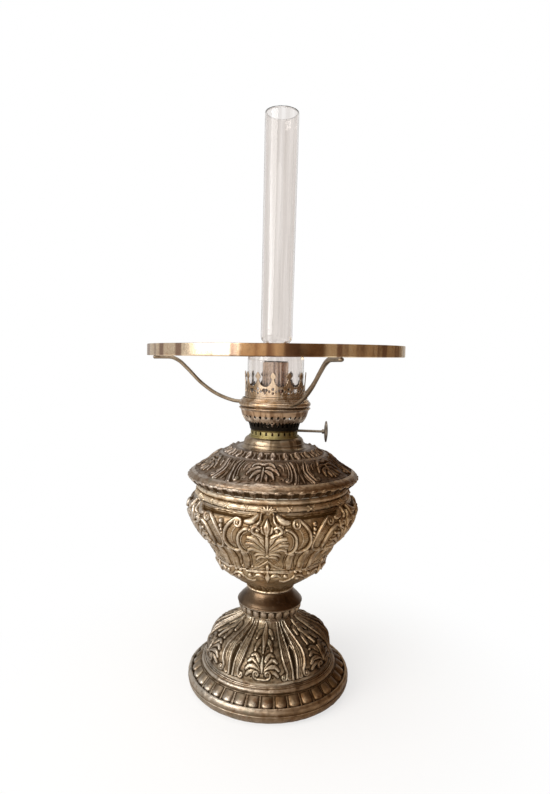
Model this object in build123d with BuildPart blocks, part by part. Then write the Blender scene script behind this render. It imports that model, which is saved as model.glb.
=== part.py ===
# Table oil lamp: ornamental metal stand, drop-in oil font, side-draught round burner,
# shade holder and glass chimney. Millimetres, +Z up, origin under the middle of the foot.
# Six ornament panels: the middle of one faces -Y, and the wick knob points along +X.

import os
from math import atan2, cos, degrees, hypot, pi, radians, sin, sqrt

from build123d import *

os.makedirs("parts", exist_ok=True)

# Shared clearances
seat_gap = 0.3
slip_gap = 0.3
running_gap = 0.05

# Foot
foot_radius = 77.8
foot_floor_radius = 72.0
foot_land = 4.0
foot_wall = 1.8
foot_height = 68.5
rim_height = 15.2
rim_groove_height = 8.2
rim_groove_depth = 0.5
rim_crest_inset = 2.2
gadroon_count = 36
gadroon_outer_radius = 73.0
gadroon_inner_radius = 65.0
gadroon_low_height = 12.4
gadroon_top_height = 20.0
gadroon_radius = 6.2
gadroon_proud = 2.4
step_height = 24.6
step_inner_radius = 60.0
step_round = 3.0
panel_count = 6
dome_top_radius = 26.6
dome_valley_depth = 7.0
foot_top_plate = 2.5
foot_turn = -1.2
# Lobed dome: shares of its height, of the way from top radius to foot radius, and of the valley depth
dome_shape = [
    (0.00, 1.00, 0.40),
    (0.20, 1.04, 0.70),
    (0.36, 1.02, 0.92),
    (0.51, 0.90, 1.00),
    (0.66, 0.63, 0.83),
    (0.84, 0.23, 0.50),
    (1.00, 0.00, 0.14),
]

# Main relief of a dome panel: degrees from the panel's middle, shares of the dome's height, and width
dome_relief = 1.0
dome_ribs = [(-25.6, 0.13, 0.91, 4.0), (0.0, 0.36, 0.86, 4.6), (25.6, 0.13, 0.91, 4.0)]
dome_rib_steps = 5
dome_boss_radius = 2.3
dome_bosses = [(-17.6, 0.20), (-4.4, 0.26), (4.4, 0.26), (17.6, 0.20)]

# Foot weight and tie rod
weight_thickness = 12.0
rod_radius = 4.0
rod_gap = 0.4
rod_end = 1.5
nut_flats = 13.0
nut_height = 6.5
washer_radius = 12.0
washer_thickness = 1.6

# Bead ring and knop between foot and bowl
bead_ring_height = 11.5
bead_ring_radius = 28.2
bead_ring_foot_radius = 26.4
bead_ring_wall = 3.0
bead_count = 24
bead_radius = 3.2
knop_height = 13.5
knop_radius = 31.0
knop_neck_radius = 21.4
knop_wall = 1.8

# Bowl
bowl_height = 101.8
bowl_wall = 2.0
bowl_floor = 3.5
bowl_foot_radius = 21.4
bowl_bulge_radius = 53.0
bowl_bulge_height = 29.5
bowl_belly_radius = 79.9
bowl_belly_height = 79.5
bowl_rim_radius = 71.8
bowl_rim_height = 5.0
bowl_rim_overhang = 1.3
bowl_rim_edge = 0.5
reed_band_radius = 72.6
reed_band_height = 5.6
reed_band_foot_step = 1.0
reed_band_top_step = 1.4
bowl_turn = 1.2
# Main relief of a bowl panel: degrees from its middle, shares of the way from bulge to reed band, and width
bowl_relief = 1.4
bowl_ribs = [
    (-18.9, 0.08, 0.74, 3.6),
    (0.0, 0.38, 0.92, 4.6),
    (18.9, 0.08, 0.74, 3.6),
    (30.0, 0.06, 0.76, 5.0),
]
scroll_eye_radius = 3.0
scroll_eyes = [(-18.2, 0.86), (-5.4, 0.77), (5.4, 0.77), (18.2, 0.86)]

# Drop-in oil font
tank_wall = 1.0
tank_floor_inset = 12.0
tank_gap = 1.0
tank_floor_lift = 8.5
tank_shoulder_height = 52.0
tank_flange = 1.0
cover_height = 33.2
cover_wall = 1.6
cover_radius = 80.6
cover_edge_height = 7.2
cover_edge_thickness = 1.6
cover_edge_round = 0.8
cover_band_radius = 70.5
cover_band_height = 13.2
cover_shoulder_radius = 58.0
cover_shoulder_height = 23.6
cover_top_radius = 40.5
egg_ring_radius = 43.5
egg_count = 24
egg_radius = 3.4
scallop_count = 48
scallop_radius = 3.6
collar_wall = 3.6
collar_shoulder = 3.0
collar_height = 10.0
collar_foot = 2.5
collar_foot_height = 4.0
collar_lip = 0.4
collar_spigot_depth = 4.0

# Burner
burner_plug_radius = 21.6
burner_plug_depth = 10.5
burner_wall = 1.2
burner_flange_radius = 24.0
burner_flange = 0.9
slot_ring_height = 6.4
slot_ring_step = 0.7
slot_count = 24
slot_width = 2.0
slot_height = 3.2
plate_drop = 3.5
plate_thickness = 1.2
plate_ledge = 2.4
tube_radius = 12.3
tube_wall = 0.6
tube_length = 72.5
wick_thickness = 0.9
wick_gap_angle = 40.0
wick_bridge_angle = 34.0
wick_proud = 0.6
wick_tail = 106.0
air_port_width = 6.4
air_port_height = 12.0
air_port_lift = 15.0
draught_wall = 0.6
screen_height = 10.0
screen_overlap = 1.6
screen_wall = 0.8
screen_slot_count = 32
screen_slot_width = 2.2
basket_height = 22.0
basket_lip = 1.4
basket_wall = 0.8
basket_lower_radius = 26.8
basket_swell = 0.9
basket_hole_count = 32
basket_hole_width = 1.7
basket_hole_height = 3.0
basket_hole_lift = 14.0
pinking_depth = 2.2
deck_ledge = 1.9
crown_wall = 1.0
crown_chimney_gap = 0.8
crown_flange = 1.0
crown_seat_height = 12.0
crown_seat_thickness = 1.0
crown_seat_inner_radius = 19.0
crown_band_height = 19.4
crown_height = 32.0
crown_flare = 0.7
prong_count = 12
prong_half_width = 1.7
prong_neck_half_width = 0.9
prong_base_half_width = 2.4
heart_width = 4.4
small_hole_radius = 1.0

# Wick drive
spindle_radius = 1.25
spindle_lift = 3.7
wheel_wick_gap = 0.3
spindle_left = 19.5
spindle_reach = 49.5
bush_radius = 2.4
bush_length = 6.6
wheel_radius = 4.0
wheel_width = 2.0
wheel_spacing = 8.0
wheel_teeth = 10
wheel_tooth = 0.9
wheel_window_gap = 0.8
knob_radius = 10.2
knob_thickness = 3.8
knob_edge_thickness = 1.4
knob_hub_radius = 2.2
knob_hub_length = 2.0

# Shade holder
holder_bore_gap = 0.7
holder_width = 4.1
holder_top_width = 1.2
holder_height = 9.6
holder_undercut = 1.3
arm_count = 3
arm_azimuth = -61.0
arm_thickness = 4.2
arm_width = 4.6
arm_start_height = 5.2
arm_root_inset = 1.7
arm_tab_height = 7.0
arm_tab_thickness = 1.6
shade_ring_radius = 119.0
shade_ring_thickness = 1.0
shade_ring_height = 10.2
shade_ring_lift = 46.4

# Chimney
chimney_length = 257.0
chimney_wall = 1.5
chimney_base_radius = 26.6
chimney_bulb_height = 33.0
chimney_neck_radius = 12.6
chimney_neck_height = 47.5
chimney_tube_radius = 14.8
chimney_tube_height = 57.0
chimney_top_radius = 15.7

# Levels worked out from the stack of pieces
bead_ring_level = foot_height
knop_level = bead_ring_level + bead_ring_height
bowl_level = knop_level + knop_height
bowl_rim_level = bowl_level + bowl_height
cover_level = bowl_rim_level + tank_flange
collar_level = cover_level + cover_height
burner_level = collar_level + collar_height
slot_ring_level = burner_level + burner_flange
basket_level = slot_ring_level + slot_ring_height
deck_level = basket_level + basket_height
seat_level = deck_level + crown_seat_height
ring_level = deck_level + shade_ring_lift
plate_level = burner_level - plate_drop
spindle_level = burner_level + spindle_lift
tube_top_level = plate_level + plate_thickness + tube_length

# Radii worked out from what fits inside what
panel_pitch = 360 / panel_count
tube_bore = tube_radius - tube_wall
wick_radius = tube_bore - slip_gap
wick_bore = wick_radius - wick_thickness
draught_radius = wick_bore - slip_gap
spindle_side = wick_radius + wheel_wick_gap + wheel_radius
collar_bore = burner_plug_radius + slip_gap
collar_spigot_radius = collar_bore + collar_wall
collar_radius = collar_spigot_radius + collar_shoulder
collar_foot_radius = collar_radius + collar_foot
slot_ring_radius = burner_plug_radius + slot_ring_step
crown_bore = chimney_base_radius + crown_chimney_gap
crown_radius = crown_bore + crown_wall
deck_inner_radius = crown_bore - deck_ledge
holder_bore = crown_radius + crown_flare + holder_bore_gap
holder_radius = holder_bore + holder_width
basket_lip_radius = holder_radius
arm_root_radius = holder_bore + arm_root_inset
tank_floor_radius = bowl_bulge_radius - bowl_wall - tank_floor_inset
screen_top_radius = basket_lower_radius - basket_wall - seat_gap
basket_edge_height = screen_height - screen_overlap


def radial_plane(azimuth):
    """Plane through the lamp's axis whose x runs outwards at an azimuth and whose y runs up."""
    angle = radians(azimuth)
    return Plane((0, 0, 0), x_dir=(cos(angle), sin(angle), 0), z_dir=(sin(angle), -cos(angle), 0))


def facing_plane(azimuth):
    """Plane on the lamp's axis that faces outwards at an azimuth, with y running up."""
    angle = radians(azimuth)
    return Plane((0, 0, 0), x_dir=(-sin(angle), cos(angle), 0), z_dir=(cos(angle), sin(angle), 0))


def around(radius, angle):
    """Point on a circle about the axis."""
    return (radius * cos(radians(angle)), radius * sin(radians(angle)))


def read_off(levels, radii, level):
    """Radius of an outline at a level, straight between the levels listed."""
    for low, high, start, end in zip(levels, levels[1:], radii, radii[1:]):
        if level <= high:
            return start + (end - start) * (level - low) / (high - low)
    return radii[-1]


# Foot: moulded rim, ring of gadroons, step and six-lobed dome with its relief, hollow from below
dome_height = foot_height - step_height
rim_crest_radius = foot_radius - rim_crest_inset
rim_groove_radius = foot_radius - rim_groove_depth
gadroon_run = gadroon_outer_radius - gadroon_inner_radius
gadroon_rise = gadroon_top_height - gadroon_low_height
gadroon_length = hypot(gadroon_run, gadroon_rise)
gadroon_tilt = -degrees(atan2(gadroon_run, gadroon_rise))
gadroon_sink = gadroon_radius - gadroon_proud
gadroon_centre_radius = gadroon_outer_radius - gadroon_run / 2 - gadroon_sink * gadroon_rise / gadroon_length
gadroon_centre_height = gadroon_low_height + gadroon_rise / 2 - gadroon_sink * gadroon_run / gadroon_length
dome_levels = [step_height + share * dome_height for share, spread, depth in dome_shape]
dome_crests = [
    dome_top_radius + spread * (step_inner_radius - dome_top_radius) for share, spread, depth in dome_shape
]
dome_valleys = [
    crest - depth * dome_valley_depth for crest, (share, spread, depth) in zip(dome_crests, dome_shape)
]
dome_inside = [(valley - foot_wall, level) for valley, level in zip(dome_valleys, dome_levels)][1:-1]
step_underside = step_height - foot_wall
foot_inside_top = foot_height - foot_top_plate
ledge_radius = gadroon_inner_radius - 2.4 * foot_wall
weight_radius = ledge_radius - seat_gap


def dome_place(angle, share):
    """Radius and level of a point of the dome: degrees from a panel's middle and share of the height."""
    level = step_height + share * dome_height
    crest = read_off(dome_levels, dome_crests, level)
    valley = read_off(dome_levels, dome_valleys, level)
    return (crest - (crest - valley) * (2 * angle / panel_pitch) ** 2, level)


with BuildPart() as dome_panel:
    for angle, low, high, width in dome_ribs:
        shares = [low + (high - low) * step / dome_rib_steps for step in range(dome_rib_steps + 1)]
        crests = [dome_place(angle, share) for share in shares]
        with BuildSketch(radial_plane(angle - 90)):
            with BuildLine():
                ridge = Spline(*[(radius + dome_relief, level) for radius, level in crests])
                Polyline(ridge @ 1, (0, crests[-1][1]), (0, crests[0][1]), ridge @ 0)
            make_face()
        extrude(amount=width / 2, both=True)
    for angle, share in dome_bosses:
        radius, level = dome_place(angle, share)
        with BuildSketch(facing_plane(angle - 90)):
            with Locations((0, level)):
                Circle(dome_boss_radius)
        extrude(amount=radius + dome_relief)

with BuildPart() as foot:
    with BuildSketch(Plane.XZ):
        with BuildLine():
            Polyline((0, step_height), (0, 0), (foot_floor_radius, 0))
            ThreePointArc(
                (foot_floor_radius, 0),
                (foot_radius * 0.62 + foot_floor_radius * 0.38, rim_groove_height * 0.4),
                (rim_groove_radius, rim_groove_height),
            )
            ThreePointArc(
                (rim_groove_radius, rim_groove_height),
                (foot_radius - rim_groove_depth / 2, rim_groove_height * 0.35 + rim_height * 0.65),
                (rim_crest_radius, rim_height),
            )
            ThreePointArc(
                (rim_crest_radius, rim_height),
                (
                    rim_crest_radius * 0.32 + gadroon_outer_radius * 0.68,
                    rim_height * 0.7 + gadroon_low_height * 0.3,
                ),
                (gadroon_outer_radius, gadroon_low_height),
            )
            Line((gadroon_outer_radius, gadroon_low_height), (gadroon_inner_radius, gadroon_top_height))
            ThreePointArc(
                (gadroon_inner_radius, gadroon_top_height),
                (gadroon_inner_radius - step_round * 0.27, gadroon_top_height * 0.3 + step_height * 0.7),
                (gadroon_inner_radius - step_round, step_height),
            )
            Line((gadroon_inner_radius - step_round, step_height), (0, step_height))
        make_face()
    revolve(axis=Axis.Z)
    with Locations((0, 0, gadroon_centre_height)):
        with PolarLocations(gadroon_centre_radius, gadroon_count):
            Cylinder(gadroon_radius, gadroon_length, rotation=(0, gadroon_tilt, 0))
    for level, crest, valley in zip(dome_levels, dome_crests, dome_valleys):
        with BuildSketch(Plane.XY.offset(level)):
            with BuildLine():
                for panel in range(panel_count):
                    start = foot_turn + panel * panel_pitch
                    ThreePointArc(
                        around(valley, start),
                        around(crest, start + panel_pitch / 2),
                        around(valley, start + panel_pitch),
                    )
            make_face()
    loft()
    for panel in range(panel_count):
        add(dome_panel.part, rotation=(0, 0, foot_turn + panel * panel_pitch))
    with BuildSketch(Plane.XZ):
        with BuildLine():
            Polyline(
                (0, 0),
                (foot_floor_radius - foot_land, 0),
                (gadroon_outer_radius - foot_wall, gadroon_low_height - foot_wall),
                (gadroon_inner_radius - foot_wall, gadroon_top_height - foot_wall),
                (ledge_radius, step_underside),
                (dome_valleys[0] - foot_wall, step_underside),
            )
            Polyline(
                (dome_valleys[0] - foot_wall, step_underside),
                *dome_inside,
                (dome_valleys[-1] - foot_wall, foot_inside_top),
                (0, foot_inside_top),
                (0, 0),
            )
        make_face()
    revolve(axis=Axis.Z, mode=Mode.SUBTRACT)
    Cylinder(rod_radius + rod_gap, 3 * foot_height, mode=Mode.SUBTRACT)
foot.part.label = "foot"
export_step(foot.part, "parts/foot.step")

# Foot weight: iron disc under the step, drawn up by the tie rod
weight_level = step_underside - weight_thickness
with BuildPart() as foot_weight:
    with BuildSketch(Plane.XY.offset(weight_level)):
        Circle(weight_radius)
        Circle(rod_radius + rod_gap, mode=Mode.SUBTRACT)
    extrude(amount=weight_thickness)
    chamfer(foot_weight.edges().group_by(Axis.Z)[0].sort_by(SortBy.RADIUS)[-1], length=foot_wall)
foot_weight.part.label = "foot_weight"
export_step(foot_weight.part, "parts/foot_weight.step")

# Bead ring: turned ring with a row of round beads
with BuildPart() as bead_ring:
    with BuildSketch(Plane.XZ):
        with BuildLine():
            Polyline(
                (rod_radius + rod_gap, bead_ring_level),
                (bead_ring_foot_radius, bead_ring_level),
                (bead_ring_foot_radius, bead_ring_level + bead_ring_height * 0.12),
            )
            ThreePointArc(
                (bead_ring_foot_radius, bead_ring_level + bead_ring_height * 0.12),
                (bead_ring_radius, bead_ring_level + bead_ring_height * 0.5),
                (bead_ring_radius, bead_ring_level + bead_ring_height * 0.86),
            )
            Polyline(
                (bead_ring_radius, bead_ring_level + bead_ring_height * 0.86),
                (bead_ring_radius + bead_radius / 2, bead_ring_level + bead_ring_height * 0.9),
                (bead_ring_radius + bead_radius / 2, knop_level),
                (rod_radius + rod_gap, knop_level),
                (rod_radius + rod_gap, bead_ring_level),
            )
        make_face()
    revolve(axis=Axis.Z)
    with Locations((0, 0, bead_ring_level + bead_ring_height * 0.5)):
        with PolarLocations(bead_ring_radius - bead_radius * 0.3, bead_count):
            Sphere(bead_radius)
    with BuildSketch(Plane.XZ):
        with BuildLine():
            Polyline(
                (rod_radius + 2 * bead_ring_wall, bead_ring_level + bead_ring_wall),
                (bead_ring_foot_radius - 2 * bead_ring_wall, bead_ring_level + bead_ring_wall),
                (bead_ring_foot_radius - 2 * bead_ring_wall, knop_level),
                (rod_radius + 2 * bead_ring_wall, knop_level),
                close=True,
            )
        make_face()
    revolve(axis=Axis.Z, mode=Mode.SUBTRACT)
bead_ring.part.label = "bead_ring"
export_step(bead_ring.part, "parts/bead_ring.step")


def knop_outline(inset, low, high):
    """Side of the knop from its wide foot up to its neck, moved inwards by an inset."""
    wide = (knop_radius - inset, low)
    neck = (knop_neck_radius - inset, high)
    Spline(
        wide,
        (knop_radius * 0.56 + knop_neck_radius * 0.44 - inset, low + (high - low) * 0.42),
        neck,
        tangents=[(-0.1, 1), (-0.25, 1)],
    )
    Polyline(neck, (rod_radius + rod_gap, high), (rod_radius + rod_gap, low), wide)


# Knop: spun hollow dome under the bowl
with BuildPart() as knop:
    with BuildSketch(Plane.XZ):
        with BuildLine():
            knop_outline(0, knop_level, bowl_level)
        make_face()
    revolve(axis=Axis.Z)
    with BuildSketch(Plane.XZ):
        with BuildLine():
            knop_outline(knop_wall, knop_level, bowl_level - knop_wall)
        make_face()
    revolve(axis=Axis.Z, mode=Mode.SUBTRACT)
knop.part.label = "knop"
export_step(knop.part, "parts/knop.step")


reed_high = bowl_rim_level - bowl_rim_height
reed_low = reed_high - reed_band_height
belly_run = bowl_belly_radius - bowl_bulge_radius
belly_rise = bowl_belly_height - bowl_bulge_height
belly_level = bowl_level + bowl_belly_height
bulge_level = bowl_level + bowl_bulge_height
band_foot_radius = reed_band_radius - reed_band_foot_step
# Side of the bowl: bulge, two points below the belly, belly, shoulder and foot of the reed band
bowl_radii = [
    bowl_bulge_radius,
    bowl_bulge_radius + belly_run * 0.28,
    bowl_bulge_radius + belly_run * 0.8,
    bowl_belly_radius,
    bowl_belly_radius * 0.78 + band_foot_radius * 0.22,
    band_foot_radius,
]
bowl_levels = [
    bulge_level,
    bulge_level + belly_rise * 0.36,
    bulge_level + belly_rise * 0.68,
    belly_level,
    belly_level * 0.36 + reed_low * 0.64,
    reed_low,
]


def bowl_side(inset, bottom):
    """Side of the bowl from its foot over the small bulge and the belly to the reed band."""
    bulge, low_belly, high_belly, belly, shoulder, band_foot = [
        (radius - inset, level) for radius, level in zip(bowl_radii, bowl_levels)
    ]
    bulge_run = bowl_bulge_radius - bowl_foot_radius
    Spline(
        (bowl_foot_radius - inset, bottom),
        (bowl_foot_radius + bulge_run * 0.55 - inset, bowl_level + bowl_bulge_height * 0.5 + inset),
        bulge,
        tangents=[(0.35, 1), (0.05, 1)],
    )
    Spline(bulge, low_belly, high_belly, belly, tangents=[(0.05, 1), (0, 1)])
    ThreePointArc(belly, shoulder, band_foot)
    return band_foot


def bowl_place(share):
    """Radius and level of a point of the bowl's side given as a share of the way from bulge to reed band."""
    level = bulge_level + share * (reed_low - bulge_level)
    return (read_off(bowl_levels, bowl_radii, level), level)


# Bowl: hollow vase that takes the oil font, with six relief panels and a reed band under its rim
rim_neck_radius = bowl_rim_radius - bowl_rim_overhang
with BuildPart() as bowl_panel:
    for angle, low, high, width in bowl_ribs:
        low_level = bowl_place(low)[1]
        high_level = bowl_place(high)[1]
        with BuildSketch(radial_plane(angle - 90)):
            with BuildLine():
                proud_band_foot = bowl_side(-bowl_relief, bowl_level)
                Polyline(
                    proud_band_foot,
                    (0, reed_low),
                    (0, bowl_level),
                    (bowl_foot_radius + bowl_relief, bowl_level),
                )
            make_face()
            with Locations((0, (low_level + high_level) / 2)):
                Rectangle(4 * bowl_belly_radius, high_level - low_level, mode=Mode.INTERSECT)
        extrude(amount=width / 2, both=True)
    for angle, share in scroll_eyes:
        radius, level = bowl_place(share)
        with BuildSketch(facing_plane(angle - 90)):
            with Locations((0, level)):
                Circle(scroll_eye_radius)
        extrude(amount=radius + bowl_relief)

with BuildPart() as bowl:
    with BuildSketch(Plane.XZ):
        with BuildLine():
            Line((0, bowl_level), (bowl_foot_radius, bowl_level))
            band_foot = bowl_side(0, bowl_level)
            ThreePointArc(
                band_foot,
                (reed_band_radius, (reed_low + reed_high) / 2),
                (reed_band_radius - reed_band_top_step, reed_high),
            )
            Polyline(
                (reed_band_radius - reed_band_top_step, reed_high),
                (rim_neck_radius, reed_high),
                (rim_neck_radius, bowl_rim_level - bowl_rim_height * 0.35),
            )
            ThreePointArc(
                (rim_neck_radius, bowl_rim_level - bowl_rim_height * 0.35),
                (bowl_rim_radius, bowl_rim_level - bowl_rim_height * 0.16),
                (bowl_rim_radius - bowl_rim_edge, bowl_rim_level),
            )
            Polyline((bowl_rim_radius - bowl_rim_edge, bowl_rim_level), (0, bowl_rim_level), (0, bowl_level))
        make_face()
    revolve(axis=Axis.Z)
    for panel in range(panel_count):
        add(bowl_panel.part, rotation=(0, 0, bowl_turn + panel * panel_pitch))
    with BuildSketch(Plane.XZ):
        with BuildLine():
            Line((0, bowl_level + bowl_floor), (bowl_foot_radius - bowl_wall, bowl_level + bowl_floor))
            inner_band_foot = bowl_side(bowl_wall, bowl_level + bowl_floor)
            Polyline(
                inner_band_foot,
                (rim_neck_radius - bowl_wall, reed_high),
                (rim_neck_radius - bowl_wall, bowl_rim_level),
                (0, bowl_rim_level),
                (0, bowl_level + bowl_floor),
            )
        make_face()
    revolve(axis=Axis.Z, mode=Mode.SUBTRACT)
    Cylinder(rod_radius + rod_gap, 3 * bowl_level, mode=Mode.SUBTRACT)
bowl.part.label = "bowl"
export_step(bowl.part, "parts/bowl.step")

# Tie rod with its washers and nuts, which clamps weight, foot, ring, knop and bowl together
low_washer_level = weight_level - washer_thickness
low_nut_level = low_washer_level - nut_height
high_washer_level = bowl_level + bowl_floor
high_nut_level = high_washer_level + washer_thickness
rod_low = low_nut_level - rod_end
rod_high = high_nut_level + nut_height + rod_end

with BuildPart() as tie_rod:
    with BuildSketch(Plane.XY.offset(rod_low)):
        Circle(rod_radius)
    extrude(amount=rod_high - rod_low)
    chamfer(tie_rod.edges().filter_by(GeomType.CIRCLE), length=rod_end / 2)
tie_rod.part.label = "tie_rod"
export_step(tie_rod.part, "parts/tie_rod.step")

with BuildPart() as tie_washers:
    for level in (low_washer_level, high_washer_level):
        with BuildSketch(Plane.XY.offset(level)):
            Circle(washer_radius)
            Circle(rod_radius + rod_gap, mode=Mode.SUBTRACT)
        extrude(amount=washer_thickness)
tie_washers.part.label = "tie_washers"
export_step(tie_washers.part, "parts/tie_washers.step")

with BuildPart() as tie_nuts:
    for level in (low_nut_level, high_nut_level):
        with BuildSketch(Plane.XY.offset(level)):
            RegularPolygon(nut_flats / 2, 6, major_radius=False)
            Circle(rod_radius, mode=Mode.SUBTRACT)
        extrude(amount=nut_height)
tie_nuts.part.label = "tie_nuts"
export_step(tie_nuts.part, "parts/tie_nuts.step")

# Oil tank: thin can that hangs in the bowl by its flange
tank_radius = rim_neck_radius - bowl_wall - tank_gap
tank_floor_level = rod_high + tank_floor_lift
tank_shoulder_level = tank_floor_level + tank_shoulder_height
tank_middle_radius = tank_floor_radius * 0.45 + tank_radius * 0.55
tank_middle_level = tank_floor_level + tank_shoulder_height * 0.5
with BuildPart() as oil_tank:
    with BuildSketch(Plane.XZ):
        with BuildLine():
            Line((0, tank_floor_level), (tank_floor_radius, tank_floor_level))
            Spline(
                (tank_floor_radius, tank_floor_level),
                (tank_middle_radius, tank_middle_level),
                (tank_radius, tank_shoulder_level),
                tangents=[(0.7, 1), (0, 1)],
            )
            Polyline(
                (tank_radius, tank_shoulder_level),
                (tank_radius, bowl_rim_level),
                (bowl_rim_radius - tank_gap, bowl_rim_level),
                (bowl_rim_radius - tank_gap, cover_level),
                (tank_radius - tank_wall, cover_level),
                (tank_radius - tank_wall, tank_shoulder_level),
            )
            Spline(
                (tank_radius - tank_wall, tank_shoulder_level),
                (tank_middle_radius - tank_wall, tank_middle_level + tank_wall),
                (tank_floor_radius - tank_wall / 2, tank_floor_level + tank_wall),
                tangents=[(0, -1), (-0.7, -1)],
            )
            Polyline(
                (tank_floor_radius - tank_wall / 2, tank_floor_level + tank_wall),
                (0, tank_floor_level + tank_wall),
                (0, tank_floor_level),
            )
        make_face()
    revolve(axis=Axis.Z)
oil_tank.part.label = "oil_tank"
export_step(oil_tank.part, "parts/oil_tank.step")

# Font cover: domed lid with an egg ring round its top and a scalloped edge under its rim
edge_level = cover_level + cover_edge_height
band_level = cover_level + cover_band_height
shoulder_level = cover_level + cover_shoulder_height
cover_foot_radius = bowl_rim_radius - bowl_rim_edge
scallop_ring_radius = (cover_foot_radius + cover_radius) / 2
with BuildPart() as font_cover:
    with BuildSketch(Plane.XZ):
        with BuildLine():
            Line((0, cover_level), (cover_foot_radius, cover_level))
            ThreePointArc(
                (cover_foot_radius, cover_level),
                (scallop_ring_radius + cover_edge_round, cover_level + cover_edge_height * 0.36),
                (cover_radius - cover_edge_round, edge_level),
            )
            ThreePointArc(
                (cover_radius - cover_edge_round, edge_level),
                (cover_radius, edge_level + cover_edge_thickness / 2),
                (cover_radius - cover_edge_round, edge_level + cover_edge_thickness),
            )
            Spline(
                (cover_radius - cover_edge_round, edge_level + cover_edge_thickness),
                (cover_band_radius, band_level),
                (cover_shoulder_radius, shoulder_level),
                (cover_top_radius + egg_radius, collar_level - egg_radius),
                tangents=[(-1, 0.25), (-1, 0.2)],
            )
            Polyline(
                (cover_top_radius + egg_radius, collar_level - egg_radius),
                (cover_top_radius, collar_level),
                (0, collar_level),
                (0, cover_level),
            )
        make_face()
    revolve(axis=Axis.Z)
    with Locations((0, 0, collar_level - egg_radius)):
        with PolarLocations(egg_ring_radius - egg_radius * 0.4, egg_count):
            Sphere(egg_radius)
    with Locations((0, 0, cover_level + cover_edge_height * 0.5)):
        with PolarLocations(scallop_ring_radius, scallop_count):
            Sphere(scallop_radius)
    with BuildSketch(Plane.XZ):
        with BuildLine():
            Polyline(
                (0, cover_level),
                (cover_foot_radius - 2 * cover_wall, cover_level),
                (cover_foot_radius - 2 * cover_wall, cover_level + 2 * cover_wall),
                (cover_radius - 4 * cover_wall, edge_level),
                (cover_radius - 4 * cover_wall, edge_level + cover_wall),
                (cover_band_radius - cover_wall, band_level - cover_wall),
                (cover_shoulder_radius - cover_wall, shoulder_level - cover_wall),
                (cover_top_radius - cover_wall, collar_level - egg_radius - cover_wall),
                (0, collar_level - egg_radius - cover_wall),
                close=True,
            )
        make_face()
    revolve(axis=Axis.Z, mode=Mode.SUBTRACT)
    Cylinder(collar_spigot_radius, 3 * collar_level, mode=Mode.SUBTRACT)
font_cover.part.label = "font_cover"
export_step(font_cover.part, "parts/font_cover.step")

# Font collar: turned neck with a domed shoulder that takes the burner
collar_top_radius = burner_flange_radius + collar_lip
with BuildPart() as font_collar:
    with BuildSketch(Plane.XZ):
        with BuildLine():
            Polyline(
                (collar_bore, collar_level - collar_spigot_depth),
                (collar_spigot_radius, collar_level - collar_spigot_depth),
                (collar_spigot_radius, collar_level),
                (collar_foot_radius, collar_level),
            )
            ThreePointArc(
                (collar_foot_radius, collar_level),
                (collar_radius + collar_foot * 0.25, collar_level + collar_foot_height * 0.35),
                (collar_radius, collar_level + collar_foot_height),
            )
            ThreePointArc(
                (collar_radius, collar_level + collar_foot_height),
                (
                    collar_radius * 0.72 + collar_top_radius * 0.28,
                    burner_level * 0.68 + (collar_level + collar_foot_height) * 0.32,
                ),
                (collar_top_radius, burner_level),
            )
            Polyline(
                (collar_top_radius, burner_level),
                (collar_bore, burner_level),
                (collar_bore, collar_level - collar_spigot_depth),
            )
        make_face()
    revolve(axis=Axis.Z)
font_collar.part.label = "font_collar"
export_step(font_collar.part, "parts/font_collar.step")

# Burner base: plug that screws into the collar, flange, and slotted ring above it
plug_level = burner_level - burner_plug_depth
plug_bore = burner_plug_radius - burner_wall
ring_bore = slot_ring_radius - burner_wall
ledge_bore = plug_bore - plate_ledge
bush_centre = sqrt((slot_ring_radius - burner_wall / 2) ** 2 - spindle_side**2)
with BuildPart() as burner_base:
    with BuildSketch(Plane.XZ):
        with BuildLine():
            Polyline(
                (plug_bore, plug_level),
                (burner_plug_radius, plug_level),
                (burner_plug_radius, burner_level),
                (burner_flange_radius, burner_level),
                (burner_flange_radius, slot_ring_level),
                (slot_ring_radius, slot_ring_level),
                (slot_ring_radius, basket_level),
                (ring_bore, basket_level),
                (plug_bore, slot_ring_level),
                (plug_bore, plate_level),
                (ledge_bore, plate_level),
                (ledge_bore, plate_level - plate_thickness),
                (plug_bore, plate_level - plate_thickness),
                close=True,
            )
        make_face()
    revolve(axis=Axis.Z)
    with Locations((0, 0, slot_ring_level + slot_ring_height / 2)):
        with PolarLocations(slot_ring_radius, slot_count):
            Box(4 * burner_wall, slot_width, slot_height, mode=Mode.SUBTRACT)
    for side in (-1, 1):
        with BuildSketch(Plane.YZ.offset(side * bush_centre - bush_length / 2)):
            with Locations((spindle_side, spindle_level)):
                Circle(bush_radius)
        extrude(amount=bush_length, mode=Mode.SUBTRACT)
burner_base.part.label = "burner_base"
export_step(burner_base.part, "parts/burner_base.step")

# Spindle bushes: one in each side of the slotted ring
with BuildPart() as spindle_bushes:
    for side in (-1, 1):
        with BuildSketch(Plane.YZ.offset(side * bush_centre - bush_length / 2)):
            with Locations((spindle_side, spindle_level)):
                Circle(bush_radius)
                Circle(spindle_radius + running_gap, mode=Mode.SUBTRACT)
        extrude(amount=bush_length)
spindle_bushes.part.label = "spindle_bushes"
export_step(spindle_bushes.part, "parts/spindle_bushes.step")


def wick_band(outer, inner, gap_angle):
    """Ring broken by a gap at the front, where air passes in to the middle of the burner."""
    half = radians(gap_angle / 2)
    reach = 2 * outer
    Circle(outer)
    Circle(inner, mode=Mode.SUBTRACT)
    Polygon(
        (0, 0),
        (-reach * sin(half), -reach * cos(half)),
        (reach * sin(half), -reach * cos(half)),
        align=None,
        mode=Mode.SUBTRACT,
    )


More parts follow.
